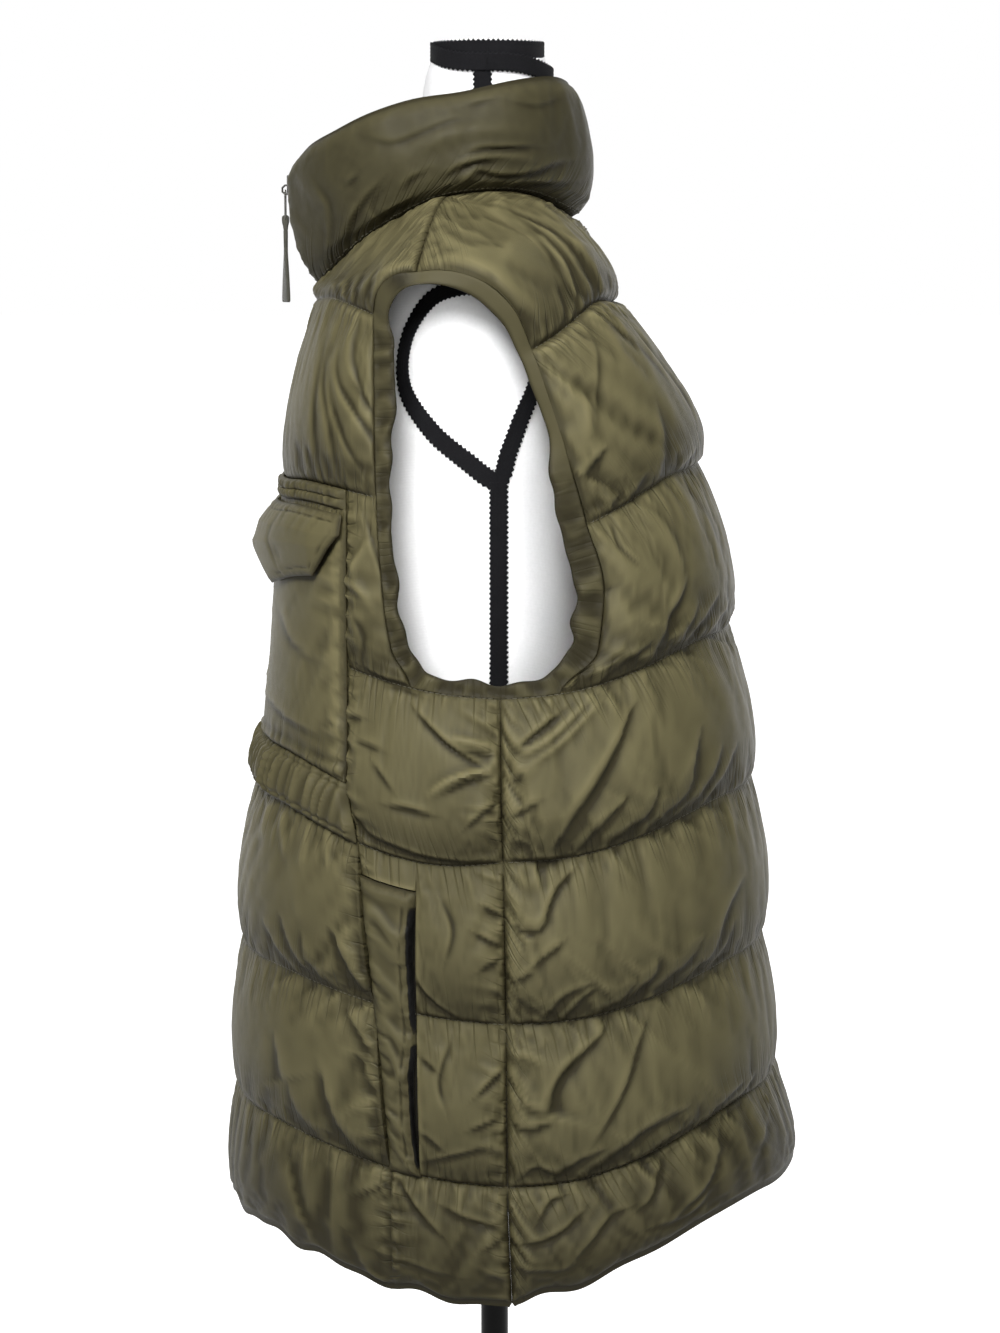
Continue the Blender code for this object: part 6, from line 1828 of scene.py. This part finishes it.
# %% [markdown]
# ## Braid
# Black braid about 14 mm wide marks the form's lines: round the neck and each armhole, down the sides,
# over the shoulders and down the back. Both its edges are a row of tiny loops. Each length is a thin
# sheet that follows the form, and its half width rises and falls once for each loop.
# %% Braid along a path
TAPE_WIDTH, LOOP_PITCH, LOOP_DEEP = 14.0, 3.4, 1.6
WOVEN_HALF = TAPE_WIDTH / 2 - 0.75  # without the loops
BRAID_PROFILE = [
    # share of the half width, height over the tape's back
    (-1, 0.35), (-0.92, 0.95), (-0.78, 1.1), (-0.6, 0.85), (-0.4, 1.1), (-0.2, 0.85), (0, 1.1),
    (0.2, 0.85), (0.4, 1.1), (0.6, 0.85), (0.78, 1.1), (0.92, 0.95), (1, 0.35), (0.9, 0), (0.3, 0),
    (-0.3, 0), (-0.9, 0),
]


def braid(name, points, normals, lift, closed=False, nodes=()):
    """Braid along a path on the form. Returns its length in mm."""
    if closed:
        points, normals = np.vstack([points, points[:1]]), np.vstack([normals, normals[:1]])
    run = run_of(points)
    at = np.linspace(0, run[-1], round(run[-1] / LOOP_PITCH) * 4, endpoint=not closed)
    points, normals = read_at(at, run, points), unit(read_at(at, run, normals))
    travel = (unit(np.roll(points, -1, axis=0) - np.roll(points, 1, axis=0)) if closed
              else unit(np.gradient(points, axis=0)))
    across = unit(np.cross(travel, normals))
    half = TAPE_WIDTH / 2 - LOOP_DEEP * (0.5 - 0.5 * np.cos(math.pi * np.arange(len(at)) / 2))
    grid = np.stack([points + normals * (lift + tall)
                     + across * share * (half[:, None] if abs(share) > 0.9 else WOVEN_HALF)
                     for share, tall in BRAID_PROFILE])
    rows, count = grid.shape[:2]
    number = np.arange(rows * count).reshape(rows, count)
    uv = np.stack([np.tile(at, rows),
                   np.repeat([share * TAPE_WIDTH / 2 for share, _ in BRAID_PROFILE], count)], -1)
    obj = mesh_of(name, grid.reshape(-1, 3), tube_faces(number, closed), uv)
    obj.data.set_sharp_from_angle(angle=math.radians(75))
    show_piece(obj, BRAID, nodes)
    return run[-1]


print("loops on 100 mm of braid:", round(100 / LOOP_PITCH))

# %% Every length of braid
# Paths on the form's left side, as y and z.
ARM_TAPE = [(4, 1229), (-22, 1231), (-43, 1222), (-58, 1196), (-59, 1165), (-42, 1138), (-19, 1118),
            (2, 1104), (10, 1124), (17, 1143), (28, 1172), (28, 1200), (20, 1219)]
arm_loop = np.array(ARM_TAPE[-1:] + ARM_TAPE + ARM_TAPE[:2], float)
side_paths = {
    "arm": catmull_rom(arm_loop, 10)[10:-11],
    "side": np.linspace((3.0, 1103.0), (3.0, 700.0), 90),
    "shoulder": np.linspace((-8.0, 1379.0), (-8.0, 1240.0), 60),
}
tape_lengths = {}
for word, side in SIDES:
    for part, path in side_paths.items():
        points, normals = (grid * np.array([side, 1, 1]) for grid in form_side(*path.T))
        tape_lengths[part] = braid(f"{part}_braid_{word}", points, normals, 0.4 if part == "arm" else 0.5,
                                   part == "arm", [f"{part}_tape_{word}"])
back_z = np.linspace(1378, 702, 120)
back_line = np.stack([np.zeros(120), form_row(back_z)[:, 2], back_z], -1)
tape_lengths["back"] = braid("back_braid", back_line, np.tile([0.0, 1.0, 0.0], (120, 1)), 0.4, False,
                             ["back_tape"])


def neck_path(height, grow):
    """A ring on the form's neck, `grow` off it. `height` gives its height at each angle."""
    angle = np.linspace(0, 2 * math.pi, 200, endpoint=False)
    z = height(angle)
    half, front, back = form_row(z).T
    c, s = (np.sign(way) * np.abs(way) ** (2 / FORM_POWER) for way in (np.cos(angle), np.sin(angle)))
    place = np.stack([(half + grow) * c, (front + back) / 2 + ((back - front) / 2 + grow) * s, z], -1)
    return place, unit((place - np.array([0, -4, 0])) * np.array([1, 1, 0]))


level_ring = neck_path(lambda angle: 1393.0 + 0 * angle, 0.0)
slant_ring = neck_path(lambda angle: 1384 - 9 * np.sin(angle) ** 3, 1.6)
tape_lengths["neck"] = braid("neck_braid", *level_ring, 0.35, True, ["neck_tape"])
tape_lengths["neck_slant"] = braid("neck_braid_slant", *slant_ring, 0.5, True)
print("braid lengths (mm):", {key: round(value) for key, value in tape_lengths.items()})

# %% [markdown]
# ## Pole and base
# A black pole stands in a round plate with a turned hub. Both are turned pieces, so each starts as one
# point on the axis, extruded into a profile of radius and height and spun. Their rims are rounded over.
# %% Turned base and pole
BASE_PROFILE = [(0, 34), (19, 34), (21.6, 33.2), (23.2, 31.4), (24, 29), (24.4, 16), (26.4, 10.4),
                (31, 7.3), (40, 6.9), (150, 6.6), (156, 6.2), (158.8, 5.0), (160, 3.2), (160, 0.8),
                (159.3, 0), (140, 0), (0, 0)]
POLE_PROFILE = [(0, 689.4), (9.2, 689.4), (10, 688.6), (10, 35.2), (9.2, 34.3), (0, 34.3)]


def spun(name, profile, steps):
    """A piece turned about the pole's axis from a profile of (radius, height) in mm."""
    bpy.ops.object.select_all(action="DESELECT")
    bpy.ops.mesh.primitive_plane_add(size=1)
    obj = bpy.context.object
    obj.name = name
    bpy.ops.object.mode_set(mode="EDIT")
    bpy.ops.mesh.select_all(action="SELECT")
    bpy.ops.mesh.merge(type="CENTER")
    bpy.ops.transform.translate(value=(profile[0][0] * MM, 0, profile[0][1] * MM))
    for (r, z), (next_r, next_z) in zip(profile, profile[1:]):
        step = ((next_r - r) * MM, 0, (next_z - z) * MM)
        bpy.ops.mesh.extrude_region_move(TRANSFORM_OT_translate={"value": step})
    bpy.ops.mesh.select_all(action="SELECT")
    bpy.ops.mesh.spin(steps=steps, angle=2 * math.pi, center=(0, 0, 0), axis=(0, 0, 1))
    close_edit(35)
    return obj


show_piece(spun("base_plate", BASE_PROFILE, 96), LACQUER, ["base"])
show_piece(spun("pole_tube", POLE_PROFILE, 64), LACQUER, ["pole"])

# %% [markdown]
# ## Zip
# The front closes with a coil zip. Each row of the coil is one plastic loop after another, so one loop is
# modelled and copied up both tapes, half a step apart, where they hook into each other. The tapes are
# narrow webbing that shows only between the front edges.
# %% Line of the zip
zip_levels = np.linspace(7, 0, 281)
zip_front, _ = cloth_place("front", zip_levels, [0.0])
zip_collar, _ = cloth_place("collar", np.linspace(0, 1, 61)[1:], np.linspace(0, 2, 65))
zip_line = np.vstack([zip_front[:, 0], zip_collar[:, -1]])[:, 1:]
zip_run = run_of(zip_line)
zip_travel = unit(np.gradient(zip_line, axis=0))
# Section of the left tape: how far from the middle, and how far forward.
ZIP_TAPE = [(0.15, 0.25), (4.9, 0.25), (4.9, 1.15), (3.038, 1.3), (2.695, 1.15), (1.47, 1.15), (0.15, 1.15)]


def zip_frame(at):
    """Place (y, z), forward and upward directions of the zip at lengths from the hem."""
    up = unit(read_at(at, zip_run, zip_travel))
    return read_at(at, zip_run, zip_line), np.stack([-up[:, 1], up[:, 0]], -1), up


tape_at = np.linspace(0.4, zip_run[-1] - 0.4, 500)
place, forward, _ = zip_frame(tape_at)
number = np.arange(len(ZIP_TAPE) * len(tape_at)).reshape(len(ZIP_TAPE), -1)
uv = np.stack([np.tile(tape_at, len(ZIP_TAPE)), np.repeat([x for x, _ in ZIP_TAPE], len(tape_at))], -1)
for word, side in SIDES:
    grid = np.concatenate([np.column_stack([np.full(len(tape_at), side * x), place + forward * front])
                           for x, front in ZIP_TAPE])
    zip_tape = mesh_of(f"zip_tape_{word}_webbing", grid, tube_faces(number), uv)
    zip_tape.data.set_sharp_from_angle(angle=math.radians(50))
    show_piece(zip_tape, WEBBING, [f"zip_tape_{word}"])
print("the zip is", round(float(zip_run[-1])), "mm long")

# %% Copies of a small piece
def small_bar(radius, long, cut):
    """A bar of six sides along x (mm), with one more ring of points at x = cut. It is in edit mode."""
    bpy.ops.object.select_all(action="DESELECT")
    bpy.ops.mesh.primitive_cylinder_add(vertices=6, radius=radius * MM, depth=long * MM,
                                        rotation=(0, math.pi / 2, 0))
    bpy.ops.object.transform_apply(location=False, rotation=True, scale=False)
    bpy.ops.object.mode_set(mode="EDIT")
    bpy.ops.mesh.select_all(action="SELECT")
    bpy.ops.mesh.bisect(plane_co=(cut * MM, 0, 0), plane_no=(1, 0, 0))
    bpy.ops.mesh.select_all(action="SELECT")
    return bpy.context.object


def copies_of(name, source, places, x_axes, y_axes, z_axes, material, nodes):
    """One object that holds a copy of a small mesh at each place (mm), turned to the given axes."""
    count = len(source.data.vertices)
    flat = np.empty(count * 3, np.float32)
    source.data.vertices.foreach_get("co", flat)
    shape = flat.reshape(-1, 3).astype(float) / MM
    faces = [list(face.vertices) for face in source.data.polygons]
    points = (places[:, None] + shape[None, :, :1] * x_axes[:, None] + shape[None, :, 1:2] * y_axes[:, None]
              + shape[None, :, 2:] * z_axes[:, None])
    every = [[v + k * count for v in face] for k in range(len(places)) for face in faces]
    uv = np.tile(shape[:, :2], (len(places), 1)) + np.repeat(np.arange(len(places)) * 3.7, count)[:, None]
    made = mesh_of(name, points.reshape(-1, 3), every, uv)
    mesh = source.data
    bpy.data.objects.remove(source)
    bpy.data.meshes.remove(mesh)
    show_piece(made, material, nodes)


print("the zip lies at", zip_frame([0.0])[0][0].round(), "at the hem (y and z)")

# %% Coil loops, copied up the tapes
COIL_PITCH, SLIDER_FOOT = 1.35, 1293.6
coil_loop = small_bar(0.46, 4.2, 0.4)
bpy.ops.transform.resize(value=(1, 2.3, 1))
bpy.ops.object.mode_set(mode="OBJECT")
for vert in coil_loop.data.vertices:
    if vert.co.x < -1.5 * MM:
        vert.co.y *= 1.1
        vert.co.z *= 1.25
steps = np.arange(COIL_PITCH, np.interp(SLIDER_FOOT, zip_line[:, 1], zip_run) - 0.5, COIL_PITCH)
at = np.concatenate([steps, steps + COIL_PITCH / 2])
way = np.concatenate([np.ones(len(steps)), -np.ones(len(steps))])
place, forward, up = zip_frame(at)
zeros = np.zeros(len(at))
places = np.column_stack([way * 0.8, place + forward * 2.7])
copies_of("zip_coil_loops", coil_loop, places, np.column_stack([way, zeros, zeros]),
          np.column_stack([zeros, forward]), np.column_stack([zeros, up]), COIL, ["zip_chain"])

# %% [markdown]
# ## Pull tab
# The tab is webbing folded over the wire link and sewn to itself: thick and round at the fold, pinched
# under it, wider and slightly twisted towards its end. It swings with the pull.
# %% Tab
HINGE = np.array([0, -147.36, 1297.4])
LINK_LENGTH, TAB_TOP, TAB_LENGTH, TAB_TWIST = 20.0, 2.6, 61.0, 28.0
TAB_SECTIONS = [
    # share of the length, width, thickness
    (0.0, 5.0, 2.2), (0.012, 5.8, 4.0), (0.03, 6.2, 5.0), (0.06, 6.4, 5.0), (0.09, 6.3, 4.6),
    (0.13, 6.4, 3.4), (0.2, 7.2, 3.0), (0.4, 8.6, 2.8), (0.8, 9.8, 3.0), (0.97, 10.0, 3.0),
    (0.995, 9.8, 2.4), (1.0, 9.4, 1.8),
]
shares = np.unique(np.concatenate([np.linspace(0, 1, 90), [row[0] for row in TAB_SECTIONS]]))
table = np.array(TAB_SECTIONS)
wide, thick = (smooth_between(table[:, 0], table[:, [k]], shares)[:, 0] for k in (1, 2))
angle = np.linspace(0, 2 * math.pi, 28, endpoint=False)
turn = np.radians(TAB_TWIST) * smoothstep((shares - 0.2) / 0.8)
c, s = np.cos(angle), np.sin(angle)
flat_x = np.sign(c) * np.abs(c) ** 0.3 * wide[:, None] / 2
flat_y = np.sign(s) * np.abs(s) ** 0.55 * thick[:, None] / 2
ribbing = 1 + 0.05 * np.cos(flat_x * 2 * math.pi / 1.7)
flat_y = flat_y * ribbing * (1 - 0.12 * np.exp(-((shares[:, None] - 0.17) / 0.012) ** 2))
along_tab = np.broadcast_to((TAB_LENGTH * shares)[:, None], flat_x.shape)
top = HINGE + [0, 0, -LINK_LENGTH + TAB_TOP]
grid = np.stack([top[0] + flat_x * np.cos(turn)[:, None] - flat_y * np.sin(turn)[:, None],
                 top[1] + flat_x * np.sin(turn)[:, None] + flat_y * np.cos(turn)[:, None],
                 top[2] - along_tab], -1)
number = np.arange(along_tab.size).reshape(along_tab.shape)
uv = np.stack([flat_x, along_tab], -1).reshape(-1, 2)
tab = mesh_of("zip_pull_tab_webbing", grid.reshape(-1, 3), tube_faces(number.T), uv)
tab.data.set_sharp_from_angle(angle=math.radians(65))
show_piece(tab, WEBBING, ["zip_pull_tab"], "zip_pull")
for name in ("zip_slider", "zip_pull_link"):
    metal = frame["nodes"][name]
    metal.data.materials.clear()
    metal.data.materials.append(GUNMETAL)

# %% [markdown]
# ## Stitches
# Every channel, seam, hem and pocket edge is sewn with lockstitch. One stitch is a short round bead of
# thread, sunk at both ends. It is copied along the lines, which are read from the finished cloth.
# %% Stitches along the cloth
STITCH_LONG, STITCH_PITCH = 3.0, 3.9


def one_stitch():
    """A bead of thread with thin ends that sink into the cloth."""
    bead = small_bar(0.34, STITCH_LONG, 0)
    bpy.ops.object.mode_set(mode="OBJECT")
    for vert in bead.data.vertices:
        if abs(vert.co.x) > 1 * MM:
            vert.co.y *= 0.6
            vert.co.z = vert.co.z * 0.6 - 0.25 * MM
    return bead


def sew(name, lines):
    """Stitches along lines, each given as points and outward normals in mm."""
    laid = []
    for points, out in lines:
        run = run_of(points)
        at = np.arange(STITCH_PITCH, run[-1] - STITCH_PITCH / 2, STITCH_PITCH)
        travel = unit(np.gradient(points, axis=0))
        laid.append([read_at(at, run, values) for values in (points + out * 0.2, travel, out)])
    places, travels, outs = (np.concatenate(part) for part in zip(*laid))
    travels, outs = unit(travels), unit(outs)
    across = unit(np.cross(outs, travels))
    copies_of(name, one_stitch(), places, travels, across, unit(np.cross(travels, across)), THREAD, ())


print("stitches on 100 mm:", round(100 / STITCH_PITCH))

# %% Every line of thread
for name, piece in PLANS.items():
    if name.startswith("chest"):
        continue
    kept = np.zeros(piece["height"].shape, bool)
    kept[:-1, :-1] |= piece["keep"]
    kept[1:, 1:] |= piece["keep"]
    lines = []
    for i in thread_lines(name)[0]:
        if (i == 0 and piece["face"] != "collar") or (name.startswith("front_body")
                                                      and piece["levels"][i] < 4.5):
            continue
        row = max(i, 1)
        span = np.flatnonzero(kept[row])
        cut = slice(span[0], span[-1] + 1)
        lines.append((piece["outer"][row, cut], piece["out"][row, cut]))
    if lines:
        sew(name + "_stitches", lines)

# %% [markdown]
# ## Floor and light
# A plain pale floor and a soft, even studio light. The key stands high beside the vest, on the side
# that the camera sees, and a weaker fill stands behind it. The world is white where the camera sees it
# and gives only a dim light from above. One more light falls on the white form alone.
# %% Floor
bpy.ops.object.select_all(action="DESELECT")
bpy.ops.mesh.primitive_plane_add(size=1)
floor = bpy.context.object
floor.name = "studio_floor"
for vert in floor.data.vertices:
    vert.co = Vector((vert.co.x * 60 - 20, vert.co.y * 60, -0.0005))
floor_material, tree, shader = new_material("floor_paint", (0.82, 0.82, 0.82), 0.9)
place = node(tree, "TexCoord")
speck = node(tree, "TexNoise", {"Vector": place.outputs["Object"], "Scale": 3.0})
tree.links.new(colour_mix(tree, speck.outputs[0], (0.81, 0.81, 0.81, 1), (0.84, 0.84, 0.84, 1)),
               shader.inputs["Base Color"])
shader.inputs["Emission Color"].default_value = (1, 1, 1, 1)
shader.inputs["Emission Strength"].default_value = 1.0
floor.data.materials.append(floor_material)
floor.visible_diffuse = False
print(floor.name, "is", round(floor.dimensions.x), "m wide")

# %% World
world = bpy.data.worlds.new("studio")
bpy.context.scene.world = world
world.use_nodes = True
tree = world.node_tree
sky = tree.nodes["Background"]
place = node(tree, "TexCoord")
height = node(tree, "SeparateXYZ", {0: place.outputs["Generated"]}).outputs["Z"]
ramp = node(tree, "ValToRGB", {"Fac": maths(tree, "MULTIPLY_ADD", height, 0.5, 0.5)})
stops = ramp.color_ramp.elements
for stop, bright in zip((stops[0], stops[1]), (0.02, 0.5)):
    stop.color = (bright, bright, bright, 1)
for at, bright in ((0.46, 0.04), (0.54, 0.17), (0.7, 0.3)):
    stops.new(at).color = (bright, bright, bright, 1)
tree.links.new(ramp.outputs[0], sky.inputs["Color"])
white = node(tree, "Background", {"Color": (1, 1, 1, 1), "Strength": 1.0})
seen = node(tree, "LightPath").outputs["Is Camera Ray"]
shown = node(tree, "MixShader", {0: seen, 1: sky.outputs[0], 2: white.outputs[0]})
tree.links.new(shown.outputs[0], tree.nodes["World Output"].inputs["Surface"])
print("tones from floor to sky:", len(stops))

# %% Lights
LIGHTS = {
    # place, what it aims at, size, power, spread in degrees
    "key": ((1.9, -0.4, 2.45), (0.1, 0.0, 1.2), 1.0, 7.8, 56),
    "fill": ((2.1, 1.3, 2.2), (0, 0.05, 1.2), 1.2, 12, 180),
    "far_front": ((-2.3, -1.1, 1.3), (0, 0, 1.1), 2.0, 3.5, 90),
    "far_back": ((-2.3, 1.0, 1.3), (0, 0, 1.1), 2.0, 4.5, 90),
    "form_light": ((2.5, 0.3, 1.35), (0, 0, 1.1), 1.8, 40, 180),
}
for name, (place, aim, size, power, spread) in LIGHTS.items():
    light = bpy.data.lights.new(name, "AREA")
    light.shape, light.size, light.energy, light.spread = "DISK", size, power, math.radians(spread)
    lamp = bpy.data.objects.new(name, light)
    lamp.location = place
    lamp.rotation_euler = (Vector(aim) - Vector(place)).to_track_quat("-Z", "Y").to_euler()
    bpy.context.scene.collection.objects.link(lamp)
form_only = bpy.data.collections.new("form_light_lights")
for obj in (torso, neck_cap):
    form_only.objects.link(obj)
bpy.data.objects["form_light"].light_linking.receiver_collection = form_only
bpy.context.scene.view_settings.view_transform = "Standard"
print("floor, world and", len(LIGHTS), "lights")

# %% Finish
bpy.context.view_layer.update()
print("made in", round(time.time() - STARTED, 1), "s")
